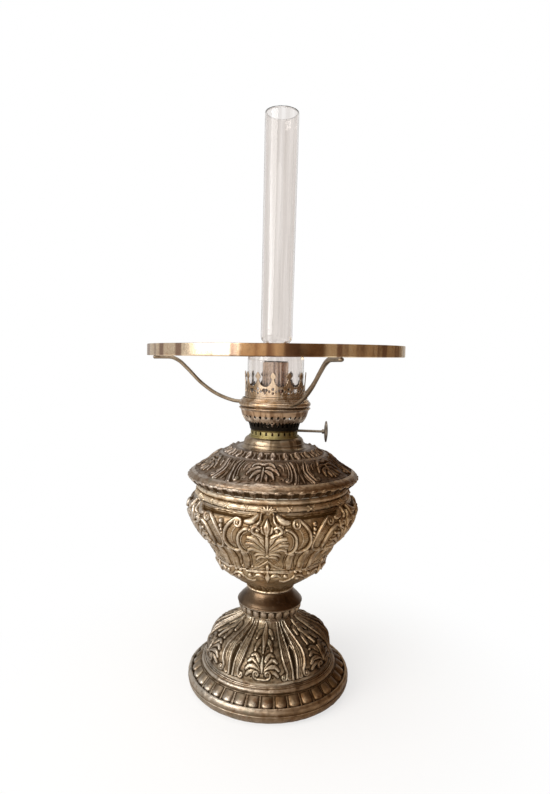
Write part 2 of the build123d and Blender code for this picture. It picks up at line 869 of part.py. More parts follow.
# Tube plate: disc on the ledge of the burner base, slotted for the wick
plate_top = plate_level + plate_thickness
with BuildPart() as tube_plate:
    with BuildSketch(Plane.XY.offset(plate_level)):
        Circle(plug_bore - running_gap)
    extrude(amount=plate_thickness)
    with BuildSketch(Plane.XY.offset(plate_level)):
        wick_band(tube_bore, draught_radius, wick_bridge_angle)
    extrude(amount=plate_thickness, mode=Mode.SUBTRACT)
tube_plate.part.label = "tube_plate"
export_step(tube_plate.part, "parts/tube_plate.step")

# Wick tube: outer tube with a window for the wick wheels and an air port at the front
port_level = plate_top + air_port_lift + air_port_height / 2
with BuildPart() as wick_tube:
    with BuildSketch(Plane.XY.offset(plate_top)):
        Circle(tube_radius)
        Circle(tube_bore, mode=Mode.SUBTRACT)
    extrude(amount=tube_length)
    with Locations((0, tube_radius, spindle_level)):
        Box(
            wheel_spacing + wheel_width + 2 * wheel_window_gap,
            tube_radius,
            2 * (wheel_radius + wheel_window_gap),
            mode=Mode.SUBTRACT,
        )
    with Locations((0, -tube_radius, port_level)):
        Box(air_port_width, tube_radius, air_port_height, mode=Mode.SUBTRACT)
wick_tube.part.label = "wick_tube"
export_step(wick_tube.part, "parts/wick_tube.step")

# Draught tube: inner tube that carries air to the flame, closed below by the tube plate
with BuildPart() as draught_tube:
    with BuildSketch(Plane.XY.offset(plate_top)):
        Circle(draught_radius)
        Circle(draught_radius - draught_wall, mode=Mode.SUBTRACT)
    extrude(amount=tube_length)
    with Locations((0, -draught_radius, port_level)):
        Box(air_port_width, draught_radius, air_port_height, mode=Mode.SUBTRACT)
draught_tube.part.label = "draught_tube"
export_step(draught_tube.part, "parts/draught_tube.step")

# Wick: woven band bent round between the tubes, hanging down into the oil
wick_low = plate_level - wick_tail
with BuildPart() as wick:
    with BuildSketch(Plane.XY.offset(wick_low)):
        wick_band(wick_radius, wick_bore, wick_gap_angle)
    extrude(amount=tube_top_level + wick_proud - wick_low)
wick.part.label = "wick"
export_step(wick.part, "parts/wick.step")

# Air screen: dark slotted cone between the slotted ring and the basket
screen_top_level = basket_level + screen_height
with BuildPart() as air_screen:
    with BuildSketch(Plane.XZ):
        with BuildLine():
            Polyline(
                (ring_bore, basket_level),
                (slot_ring_radius + screen_wall, basket_level),
                (slot_ring_radius + screen_wall, basket_level + screen_wall),
                (screen_top_radius, screen_top_level),
                (screen_top_radius - 2 * screen_wall, screen_top_level),
                (ring_bore, basket_level + 2 * screen_wall),
                close=True,
            )
        make_face()
    revolve(axis=Axis.Z)
    with Locations((0, 0, basket_level + screen_height * 0.55)):
        with PolarLocations((slot_ring_radius + screen_top_radius) / 2, screen_slot_count):
            Box(screen_top_radius / 2, screen_slot_width, screen_height * 0.5, mode=Mode.SUBTRACT)
air_screen.part.label = "air_screen"
export_step(air_screen.part, "parts/air_screen.step")

# Burner basket: pierced bowl with a pinked lower edge, rolled lip, flat deck and a ledge on the air screen
basket_edge_level = basket_level + basket_edge_height
basket_mid_radius = (basket_lower_radius + basket_lip_radius) / 2 + basket_swell
basket_mid_level = (basket_edge_level + deck_level) / 2
lip_level = deck_level - basket_lip
with BuildPart() as burner_basket:
    with BuildSketch(Plane.XZ):
        with BuildLine():
            Polyline(
                (basket_lower_radius - basket_wall, basket_edge_level),
                (basket_lower_radius, basket_edge_level),
            )
            ThreePointArc(
                (basket_lower_radius, basket_edge_level),
                (basket_mid_radius, basket_mid_level),
                (basket_lip_radius - basket_lip / 2, lip_level),
            )
            ThreePointArc(
                (basket_lip_radius - basket_lip / 2, lip_level),
                (basket_lip_radius, lip_level + basket_lip / 2),
                (basket_lip_radius - basket_lip / 2, deck_level),
            )
            Polyline(
                (basket_lip_radius - basket_lip / 2, deck_level),
                (deck_inner_radius, deck_level),
                (deck_inner_radius, deck_level - basket_wall),
                (basket_lip_radius - basket_lip / 2 - basket_wall, deck_level - basket_wall),
            )
            ThreePointArc(
                (basket_lip_radius - basket_lip / 2 - basket_wall, deck_level - basket_wall),
                (basket_mid_radius - basket_wall, basket_mid_level),
                (basket_lower_radius - basket_wall, basket_edge_level),
            )
        make_face()
    revolve(axis=Axis.Z)
    with Locations((0, 0, basket_level + basket_hole_lift)):
        with PolarLocations(basket_mid_radius, basket_hole_count):
            Box(6 * basket_wall, basket_hole_width, basket_hole_height, mode=Mode.SUBTRACT)
    for notch in range(basket_hole_count):
        with BuildSketch(facing_plane((notch + 0.5) * 360 / basket_hole_count)):
            with BuildLine():
                Polyline(
                    (-pi * basket_lower_radius / basket_hole_count * 0.8, basket_edge_level),
                    (0, basket_edge_level + pinking_depth),
                    (pi * basket_lower_radius / basket_hole_count * 0.8, basket_edge_level),
                    close=True,
                )
            make_face()
        extrude(amount=basket_lip_radius, mode=Mode.SUBTRACT)
    with BuildSketch(Plane.XY.offset(screen_top_level)):
        Circle(basket_lower_radius + 0.7 * basket_wall)
        Circle(screen_top_radius - 2 * screen_wall, mode=Mode.SUBTRACT)
    extrude(amount=basket_wall)
burner_basket.part.label = "burner_basket"
export_step(burner_basket.part, "parts/burner_basket.step")

# Gallery crown: pierced band with spear-shaped prongs that spring against the chimney
crown_band_level = deck_level + crown_band_height
crown_top_level = deck_level + crown_height
prong_pitch = 360 / prong_count
half_gap = pi * crown_radius / prong_count
prong_height = crown_height - crown_band_height
heart_level = (seat_level + crown_band_level) / 2
with BuildPart() as gallery_crown:
    with BuildSketch(Plane.XZ):
        with BuildLine():
            Polyline(
                (crown_bore, deck_level),
                (crown_radius + crown_flange, deck_level),
                (crown_radius + crown_flange, deck_level + crown_flange),
                (crown_radius, deck_level + crown_flange),
                (crown_radius, crown_band_level),
                (crown_radius + crown_flare, crown_top_level),
                (crown_bore + crown_flare, crown_top_level),
                (crown_bore, crown_band_level),
                (crown_bore, seat_level),
                (crown_seat_inner_radius, seat_level),
                (crown_seat_inner_radius, seat_level - crown_seat_thickness),
                (crown_bore, seat_level - crown_seat_thickness),
                close=True,
            )
        make_face()
    revolve(axis=Axis.Z)
    for gap in range(prong_count):
        with BuildSketch(facing_plane(gap * prong_pitch)):
            with BuildLine():
                for side in (-1, 1):
                    base = (side * (half_gap - prong_base_half_width), crown_band_level + prong_height * 0.2)
                    neck = (side * (half_gap - prong_neck_half_width), crown_band_level + prong_height * 0.5)
                    shoulder = (side * (half_gap - prong_half_width), crown_band_level + prong_height * 0.68)
                    tip = (side * half_gap, crown_top_level)
                    Polyline(base, neck, shoulder, tip)
                    Line(tip, (side * half_gap, crown_top_level + crown_wall))
                Line(
                    (-half_gap, crown_top_level + crown_wall),
                    (half_gap, crown_top_level + crown_wall),
                )
                ThreePointArc(
                    (-half_gap + prong_base_half_width, crown_band_level + prong_height * 0.2),
                    (0, crown_band_level - crown_wall),
                    (half_gap - prong_base_half_width, crown_band_level + prong_height * 0.2),
                )
            make_face()
        extrude(amount=crown_radius + 4 * crown_wall, mode=Mode.SUBTRACT)
        with BuildSketch(facing_plane(gap * prong_pitch)):
            with Locations((-heart_width / 4, heart_level), (heart_width / 4, heart_level)):
                Circle(heart_width / 4)
            with BuildLine():
                Polyline(
                    (-heart_width / 2, heart_level),
                    (0, heart_level - heart_width * 0.6),
                    (heart_width / 2, heart_level),
                    close=True,
                )
            make_face()
        extrude(amount=crown_radius + 4 * crown_wall, mode=Mode.SUBTRACT)
        with BuildSketch(facing_plane((gap + 0.5) * prong_pitch)):
            with Locations((0, heart_level), (0, heart_level + 3 * small_hole_radius)):
                Circle(small_hole_radius)
        extrude(amount=crown_radius + 4 * crown_wall, mode=Mode.SUBTRACT)
gallery_crown.part.label = "gallery_crown"
export_step(gallery_crown.part, "parts/gallery_crown.step")

# Wick spindle, its two toothed wheels and its knob
with BuildPart() as wick_spindle:
    with BuildSketch(Plane.YZ.offset(-spindle_left)):
        with Locations((spindle_side, spindle_level)):
            Circle(spindle_radius)
    extrude(amount=spindle_left + spindle_reach)
wick_spindle.part.label = "wick_spindle"
export_step(wick_spindle.part, "parts/wick_spindle.step")

with BuildPart() as wick_wheels:
    for side in (-1, 1):
        with BuildSketch(Plane.YZ.offset(side * wheel_spacing / 2 - wheel_width / 2)):
            with Locations((spindle_side, spindle_level)):
                Circle(wheel_radius)
                Circle(spindle_radius, mode=Mode.SUBTRACT)
                with PolarLocations(wheel_radius, wheel_teeth):
                    Circle(wheel_tooth, mode=Mode.SUBTRACT)
        extrude(amount=wheel_width)
wick_wheels.part.label = "wick_wheels"
export_step(wick_wheels.part, "parts/wick_wheels.step")

knob_back = spindle_reach - knob_thickness / 2
knob_front = knob_back + knob_thickness
knob_edge_inset = (knob_thickness - knob_edge_thickness) / 2
knob_plane = Plane((0, spindle_side, spindle_level), x_dir=(1, 0, 0), z_dir=(0, -1, 0))
with BuildPart() as wick_knob:
    with BuildSketch(knob_plane):
        with BuildLine():
            Polyline(
                (spindle_reach, 0),
                (spindle_reach, spindle_radius),
                (knob_back - knob_hub_length, spindle_radius),
                (knob_back - knob_hub_length, knob_hub_radius),
                (knob_back, knob_hub_radius),
            )
            ThreePointArc(
                (knob_back, knob_hub_radius),
                (knob_back + knob_edge_inset * 0.36, knob_radius * 0.66),
                (knob_back + knob_edge_inset, knob_radius),
            )
            Line((knob_back + knob_edge_inset, knob_radius), (knob_front - knob_edge_inset, knob_radius))
            TangentArc((knob_front, 0), (knob_front - knob_edge_inset, knob_radius), tangent=(0, 1))
            Line((knob_front, 0), (spindle_reach, 0))
        make_face()
    revolve(axis=Axis(knob_plane.origin, knob_plane.x_dir))
wick_knob.part.label = "wick_knob"
export_step(wick_knob.part, "parts/wick_knob.step")

# Shade ring: plain upright band that the shade stands on
ring_inside = shade_ring_radius - shade_ring_thickness
with BuildPart() as shade_ring:
    with BuildSketch(Plane.XY.offset(ring_level)):
        Circle(shade_ring_radius)
        Circle(ring_inside, mode=Mode.SUBTRACT)
    extrude(amount=shade_ring_height)
shade_ring.part.label = "shade_ring"
export_step(shade_ring.part, "parts/shade_ring.step")

# Arms: ogee brackets from the holder's collar to the underside of the ring
arm_middle_level = ring_level - arm_thickness / 2
arm_root_level = deck_level + arm_start_height
arm_tab_radius = ring_inside - running_gap - arm_tab_thickness / 2
arm_run = ring_inside - arm_root_radius
arm_rise = arm_middle_level - arm_root_level
arms = []
for number in range(arm_count):
    with BuildPart() as arm:
        with BuildSketch(radial_plane(arm_azimuth + number * 360 / arm_count)):
            with BuildLine():
                Spline(
                    (arm_root_radius, arm_root_level),
                    (arm_root_radius + arm_run * 0.42, arm_root_level + arm_rise * 0.48),
                    (arm_root_radius + arm_run * 0.79, arm_middle_level),
                    tangents=[(1, 0.2), (1, 0)],
                )
                Line(
                    (arm_root_radius + arm_run * 0.79, arm_middle_level),
                    (shade_ring_radius, arm_middle_level),
                )
            trace(line_width=arm_thickness)
        extrude(amount=arm_width / 2, both=True)
        with BuildSketch(radial_plane(arm_azimuth + number * 360 / arm_count)):
            with Locations((arm_tab_radius, arm_middle_level + arm_tab_height / 2)):
                Rectangle(arm_tab_thickness, arm_tab_height)
        extrude(amount=arm_width / 2, both=True)
        with BuildSketch(Plane.XY.offset(ring_level)):
            Circle(2 * shade_ring_radius)
            Circle(ring_inside, mode=Mode.SUBTRACT)
        extrude(amount=shade_ring_height, mode=Mode.SUBTRACT)
    arms.append(arm)

left_arm = arms[2]
left_arm.part.label = "left_arm"
export_step(left_arm.part, "parts/left_arm.step")
front_arm = arms[0]
front_arm.part.label = "front_arm"
export_step(front_arm.part, "parts/front_arm.step")
back_arm = arms[1]
back_arm.part.label = "back_arm"
export_step(back_arm.part, "parts/back_arm.step")

# Holder collar: domed ring that rests on the basket's deck and carries the arms
holder_top_level = deck_level + holder_height
with BuildPart() as holder_collar:
    with BuildSketch(Plane.XZ):
        with BuildLine():
            Polyline(
                (holder_bore, holder_top_level),
                (holder_bore, deck_level + crown_flange + seat_gap),
                (crown_radius + crown_flange + seat_gap, deck_level + crown_flange + seat_gap),
                (crown_radius + crown_flange + seat_gap, deck_level),
                (holder_radius - holder_undercut, deck_level),
                (holder_radius - holder_undercut / 2, deck_level + holder_undercut),
            )
            ThreePointArc(
                (holder_radius - holder_undercut / 2, deck_level + holder_undercut),
                (holder_radius, deck_level + holder_height * 0.45),
                (holder_bore + holder_top_width, holder_top_level),
            )
            Line((holder_bore + holder_top_width, holder_top_level), (holder_bore, holder_top_level))
        make_face()
    revolve(axis=Axis.Z)
    for arm in arms:
        add(arm.part, mode=Mode.SUBTRACT)
holder_collar.part.label = "holder_collar"
export_step(holder_collar.part, "parts/holder_collar.step")


def chimney_side(inset):
    """Wall of the chimney from its foot over the bulb, the neck and the tapering tube."""
    foot_point = (chimney_base_radius - inset, seat_level)
    bulb_point = (chimney_base_radius - inset, seat_level + chimney_bulb_height)
    neck_point = (chimney_neck_radius - inset, seat_level + chimney_neck_height)
    tube_point = (chimney_tube_radius - inset, seat_level + chimney_tube_height)
    top_point = (chimney_top_radius - inset, seat_level + chimney_length)
    Line(foot_point, bulb_point)
    Spline(bulb_point, neck_point, tangents=[(0, 1), (0, 1)])
    Spline(neck_point, tube_point, tangents=[(0, 1), (0, 1)])
    Line(tube_point, top_point)
    return foot_point, top_point


# Chimney: clear glass with a wide foot, a drawn-in neck and a long tube
with BuildPart() as chimney:
    with BuildSketch(Plane.XZ):
        with BuildLine():
            outer_foot, outer_top = chimney_side(0)
            inner_foot, inner_top = chimney_side(chimney_wall)
            Line(outer_foot, inner_foot)
            Line(outer_top, inner_top)
        make_face()
    revolve(axis=Axis.Z)
chimney.part.label = "chimney"
export_step(chimney.part, "parts/chimney.step")
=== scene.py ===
"""Looks of a table oil lamp: chased bronze stand, oil font, round-wick burner, shade holder and chimney."""

import logging
import math
from collections.abc import Callable, Sequence
from dataclasses import dataclass, field
from enum import Enum

import bpy
import numpy as np
from mathutils import Matrix


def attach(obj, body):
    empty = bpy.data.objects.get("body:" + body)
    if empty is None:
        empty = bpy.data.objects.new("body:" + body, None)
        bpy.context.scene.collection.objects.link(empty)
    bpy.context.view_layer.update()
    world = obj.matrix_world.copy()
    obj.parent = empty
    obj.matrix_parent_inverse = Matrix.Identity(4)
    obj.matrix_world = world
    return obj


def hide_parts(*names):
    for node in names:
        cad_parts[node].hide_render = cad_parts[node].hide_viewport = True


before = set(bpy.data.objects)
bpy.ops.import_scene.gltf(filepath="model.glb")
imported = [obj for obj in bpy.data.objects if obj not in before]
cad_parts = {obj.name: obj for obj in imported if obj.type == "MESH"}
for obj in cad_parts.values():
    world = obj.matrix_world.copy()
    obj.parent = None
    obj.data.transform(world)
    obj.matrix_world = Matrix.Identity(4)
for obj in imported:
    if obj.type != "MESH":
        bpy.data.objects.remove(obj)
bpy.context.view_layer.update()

log = logging.getLogger("oil_lamp")
MM = 0.001
PANELS = 6
PANEL_DEGREES = 360 / PANELS
HALF_PANEL = PANEL_DEGREES / 2
FRONT = 270.0
DEGREE = math.radians(1)
TINY = 1e-9

Point = tuple[float, float]
Points = Sequence[Point]
Triple = tuple[float, float, float]
Colour = tuple[float, float, float]
Pattern = Callable[[np.ndarray, np.ndarray], np.ndarray]
Ripple = Callable[[np.ndarray, np.ndarray, np.ndarray], np.ndarray]

WHITE: Colour = (1.0, 1.0, 1.0)
VEIN_DEPTH, VEIN_WIDTH = 0.22, 0.18  # of a leaf, as shares of its rise and half width
EDGE_PLACE, EDGE_WIDTH = 0.72, 0.2  # of a ribbon's raised edge, as shares of its half width
HATCH_PITCH = 2.2  # millimetres between the bars of a hatched band
MOAT_REACH, MOAT_DEPTH = 0.3, 0.18  # of the pressed ground, as shares of a stroke's half width and rise
LUMPS = ((0.9, 0.6), (2.4, 0.8))  # reach in millimetres and strength of a casting's unevenness
LUMP_LIMIT, FADE_STEPS = 2.5, 4  # largest lump, and steps over which lumps fade at a section's ends
WEAR_AND_SHADE = ((1.1, 0.85), (3.6, 0.34))  # reach in millimetres and strength of the relief measure behind wear, patina and painted shade in hollows, and painted highlight on crests


def lengths(points: np.ndarray) -> np.ndarray:
    """Length along a polyline to each of its points."""
    return np.concatenate([[0.0], np.cumsum(np.linalg.norm(np.diff(points, axis=0), axis=1))])


def smooth_path(points: Points, count: int) -> np.ndarray:
    """Curve through points: cubic pieces whose slope at a point is that of its two neighbours.

    Args:
        points: The points that it passes through.
        count: How many points to return.
    Returns:
        Array of count by 2, evenly spaced in the points' chord length.
    """
    knots = np.asarray(points, float)
    if len(knots) == 1:
        return knots
    chord = lengths(knots)
    if len(knots) > 2:
        slopes = np.gradient(knots, chord, axis=0)
    else:
        slopes = np.repeat(np.diff(knots, axis=0) / chord[-1], 2, axis=0)
    place = np.linspace(0, chord[-1], count)
    cell = np.clip(np.searchsorted(chord, place, side="right") - 1, 0, len(knots) - 2)
    span = (chord[cell + 1] - chord[cell])[:, None]
    t = ((place - chord[cell])[:, None]) / span
    return (
        (2 * t**3 - 3 * t**2 + 1) * knots[cell]
        + (t**3 - 2 * t**2 + t) * span * slopes[cell]
        + (3 * t**2 - 2 * t**3) * knots[cell + 1]
        + (t**3 - t**2) * span * slopes[cell + 1]
    )


def even_path(points: np.ndarray, count: int) -> np.ndarray:
    """Points spaced evenly along a polyline, its two ends included.

    Args:
        points: The polyline, one row a point.
        count: How many points to return.
    Returns:
        Array of count rows.
    """
    run = lengths(points)
    place = np.linspace(0, run[-1], count)
    return np.stack([np.interp(place, run, points[:, axis]) for axis in range(points.shape[1])], axis=1)


def join(*pieces: Points | np.ndarray) -> np.ndarray:
    """Stacks runs of points into one, leaving out a point that repeats the one before it.

    Args:
        pieces: The runs, in order.
    Returns:
        Array of all points, one row each.
    """
    stacked = np.concatenate([np.asarray(piece, float) for piece in pieces])
    keep = np.concatenate([[True], np.linalg.norm(np.diff(stacked, axis=0), axis=1) > 1e-6])
    return stacked[keep]


def arc(start: Point, middle: Point, end: Point, count: int = 12) -> np.ndarray:
    """Rounded run: the parabola from start to end that passes through middle at its half.

    Args:
        start: First point.
        middle: Point at the half.
        end: Last point.
        count: How many points to return.
    Returns:
        Array of count by 2.
    """
    t = np.linspace(0, 1, count)[:, None]
    first, last = np.asarray(start), np.asarray(end)
    pull = 2 * np.asarray(middle) - 0.5 * (first + last)
    return (1 - t) ** 2 * first + 2 * t * (1 - t) * pull + t**2 * last


def blur(values: np.ndarray, across: int, along: int) -> np.ndarray:
    """Mean over a window of a grid that closes on itself across its first axis and along its second.

    Args:
        values: Grid of values, or of points with one more axis.
        across: Half width of the window on the first axis.
        along: Half width of the window on the second axis.
    Returns:
        Grid of the same shape.
    """
    total = sum(np.roll(values, shift, axis=0) for shift in range(-across, across + 1)) / (2 * across + 1)
    return sum(np.roll(total, shift, axis=1) for shift in range(-along, along + 1)) / (2 * along + 1)


def make_object(
    name: str, points: np.ndarray, faces: np.ndarray, wear_and_shade: np.ndarray | None = None
) -> bpy.types.Object:
    """Puts a mesh of four-sided faces into the scene with smooth shading.

    Args:
        name: Name of the piece.
        points: Vertices in millimetres, one row each.
        faces: Four vertex numbers a row.
        wear_and_shade: Wear of each vertex, with painted shade in hollows and painted highlight on crests,
            kept as an attribute for the material.
    Returns:
        The new object, at the origin.
    """
    mesh = bpy.data.meshes.new(name)
    mesh.vertices.add(len(points))
    mesh.vertices.foreach_set("co", (points * MM).astype(np.float32).ravel())
    mesh.loops.add(faces.size)
    mesh.loops.foreach_set("vertex_index", faces.astype(np.int32).ravel())
    mesh.polygons.add(len(faces))
    mesh.polygons.foreach_set("loop_start", np.arange(0, faces.size, 4, dtype=np.int32))
    mesh.polygons.foreach_set("use_smooth", np.ones(len(faces), dtype=bool))
    if wear_and_shade is not None:
        mark = mesh.attributes.new("wear_and_shade", "FLOAT", "POINT")
        mark.data.foreach_set("value", wear_and_shade.astype(np.float32).ravel())
    mesh.update(calc_edges=True)
    mesh.validate()
    piece = bpy.data.objects.new(name, mesh)
    bpy.context.scene.collection.objects.link(piece)
    return piece


def grid_faces(rows: int, columns: int) -> np.ndarray:
    """Faces of a grid that closes on itself both ways, wound so that they face outwards.

    Args:
        rows: Points round the axis.
        columns: Points round the section.
    Returns:
        Array of rows times columns by 4.
    """
    row, column = np.meshgrid(np.arange(rows), np.arange(columns), indexing="ij")
    next_row = (row + 1) % rows
    next_column = (column + 1) % columns
    corners = [(row, column), (next_row, column), (next_row, next_column), (row, next_column)]
    return np.stack([(r * columns + c).ravel() for r, c in corners], axis=1)


class Form(Enum):
    """Cross-section of a stroke of ornament."""

    ROUND = "half-round rib"
    LEAF = "leaf with a vein down its middle"
    RIBBON = "flat band with raised edges"
    HATCHED = "low band crossed by fine bars"
    GROOVE = "sunk line"


@dataclass(frozen=True)
class Stroke:
    """One stroke of a panel's ornament, mirrored about the middle of the panel.

    Attributes:
        path: Degrees from the panel's middle and height, in order along the stroke.
        width: Half widths at its start, middle and end.
        rise: How far it stands proud of the ground.
        form: Its cross-section.
        curl: Middle of the curl at its end, and the curl's turns, positive to the left.
    """

    path: Points
    width: Triple
    rise: float
    form: Form = Form.ROUND
    curl: Triple | None = None


def dot(angle: float, height: float, size: float, rise: float, form: Form = Form.ROUND) -> Stroke:
    """Round boss, or round hollow if it is a groove: a stroke of one point."""
    return Stroke([(angle, height)], (size, size, size), rise, form)


def row(
    step: float, first: float, levels: Sequence[float], width: Triple, rise: float, form: Form = Form.ROUND
) -> list[Stroke]:
    """Upright strokes repeated from a first place to the panel's edge.

    Args:
        step: Degrees from one to the next.
        first: Degrees of the first from the panel's middle.
        levels: Heights of each stroke's points.
        width: Half widths at its start, middle and end.
        rise: How far it stands proud of the ground.
        form: Its cross-section.
    Returns:
        The strokes.
    """
    places = np.arange(first, HALF_PANEL + 0.01, step)
    return [Stroke([(place, level) for level in levels], width, rise, form) for place in places]


@dataclass
class Panel:
    """Height field of half a panel: rows of angles by columns of points up the section.

    Attributes:
        angles: Degrees from the panel's middle, one for each row.
        radii: Radius of each column's ring.
        levels: Height of each column.
        runs: Length along the section to each column.
        field: The relief in millimetres.
    """

    angles: np.ndarray
    radii: np.ndarray
    levels: np.ndarray
    runs: np.ndarray
    field: np.ndarray = field(init=False)

    def __post_init__(self) -> None:
        """Starts with a level ground."""
        self.field = np.zeros((len(self.angles), len(self.radii)))

    def flat(self, path: np.ndarray) -> np.ndarray:
        """Turns degrees and heights into radians and lengths along the section."""
        return np.stack([np.radians(path[:, 0]), np.interp(path[:, 1], self.levels, self.runs)], axis=1)

    def trace(self, stroke: Stroke) -> tuple[np.ndarray, np.ndarray]:
        """Dense points of a stroke and their half widths.

        A curl is a spiral whose radius shrinks evenly from the path's end to a fifth of it.

        Args:
            stroke: The stroke to follow.
        Returns:
            Points in radians and lengths, and one half width for each.
        """
        line = self.flat(smooth_path(stroke.path, 12 * len(stroke.path)))
        if stroke.curl:
            middle = self.flat(np.asarray([stroke.curl[:2]]))[0]
            radius = np.interp(middle[1], self.runs, self.radii)
            arm = (line[-1] - middle) * (radius, 1.0)
            turn = np.linspace(0, 2 * math.pi * stroke.curl[2], int(40 * abs(stroke.curl[2])))
            reach = np.hypot(*arm) * (1 - 0.8 * np.linspace(0, 1, len(turn)))
            start = math.atan2(arm[1], arm[0])
            spiral = np.stack([reach * np.cos(start + turn) / radius, reach * np.sin(start + turn)], axis=1)
            line = np.concatenate([line, middle + spiral[1:]])
        share = np.linspace(0, 1, len(line))
        return line, np.interp(share, [0, 0.5, 1], stroke.width)

    def lay(self, stroke: Stroke) -> None:
        """Adds a stroke.

        Its rise falls from its middle line to its edge, and the ground beside it is pressed down.

        Args:
            stroke: The stroke to add.
        """
        line, widths = self.trace(stroke)
        angles = np.radians(self.angles)[:, None, None]
        sideways = (angles - line[None, None, :, 0]) * self.radii[None, :, None]
        upwards = self.runs[None, :, None] - line[None, None, :, 1]
        near = (sideways**2 + upwards**2) / widths**2
        gap = np.sqrt(near.min(axis=2))
        inside = np.clip(1 - gap**2, 0, 1)
        if stroke.form is Form.GROOVE:
            self.field -= stroke.rise * inside**1.5
            return
        if stroke.form is Form.LEAF:
            shape = inside**0.6 * (1 - VEIN_DEPTH * np.exp(-((gap / VEIN_WIDTH) ** 2)))
        elif stroke.form is Form.RIBBON:
            edge = np.exp(-(((gap - EDGE_PLACE) / EDGE_WIDTH) ** 2))
            shape = np.clip(4 * (1 - gap), 0, 1) * (0.55 + 0.45 * edge)
        elif stroke.form is Form.HATCHED:
            along = lengths(line * (self.radii.mean(), 1.0))[near.argmin(axis=2)]
            bars = np.cos(2 * math.pi * along / HATCH_PITCH)
            shape = np.clip(3 * (1 - gap), 0, 1) * (0.6 + 0.4 * bars)
        else:
            shape = np.sqrt(inside)
        moat = np.exp(-np.clip(gap - 1, 0, None) / MOAT_REACH)
        pressed = self.field * (1 - 0.7 * moat) - MOAT_DEPTH * stroke.rise * moat
        raised = np.maximum(self.field * 0.35, stroke.rise * shape)
        self.field = np.where(gap < 1, raised, pressed)


def wear_and_shade_from_relief(points: np.ndarray) -> np.ndarray:
    """How far each point of a closed grid stands above its surroundings, from 0 in a hollow to 1 on a crest.

    Args:
        points: Grid of points in millimetres.
    Returns:
        Grid of shares.
    """
    across = np.roll(points, -1, axis=0) - np.roll(points, 1, axis=0)
    along = np.roll(points, -1, axis=1) - np.roll(points, 1, axis=1)
    normal = np.cross(across, along)
    normal /= np.linalg.norm(normal, axis=2, keepdims=True) + TINY
    pitch = [np.median(np.linalg.norm(run, axis=2)) / 2 for run in (across, along)]
    wear_and_shade = np.full(points.shape[:2], 0.5)
    for reach, strength in WEAR_AND_SHADE:
        windows = [max(1, round(reach / step)) for step in pitch]
        wear_and_shade += strength * ((points - blur(points, *windows)) * normal).sum(axis=2)
    return np.clip(wear_and_shade, 0, 1)


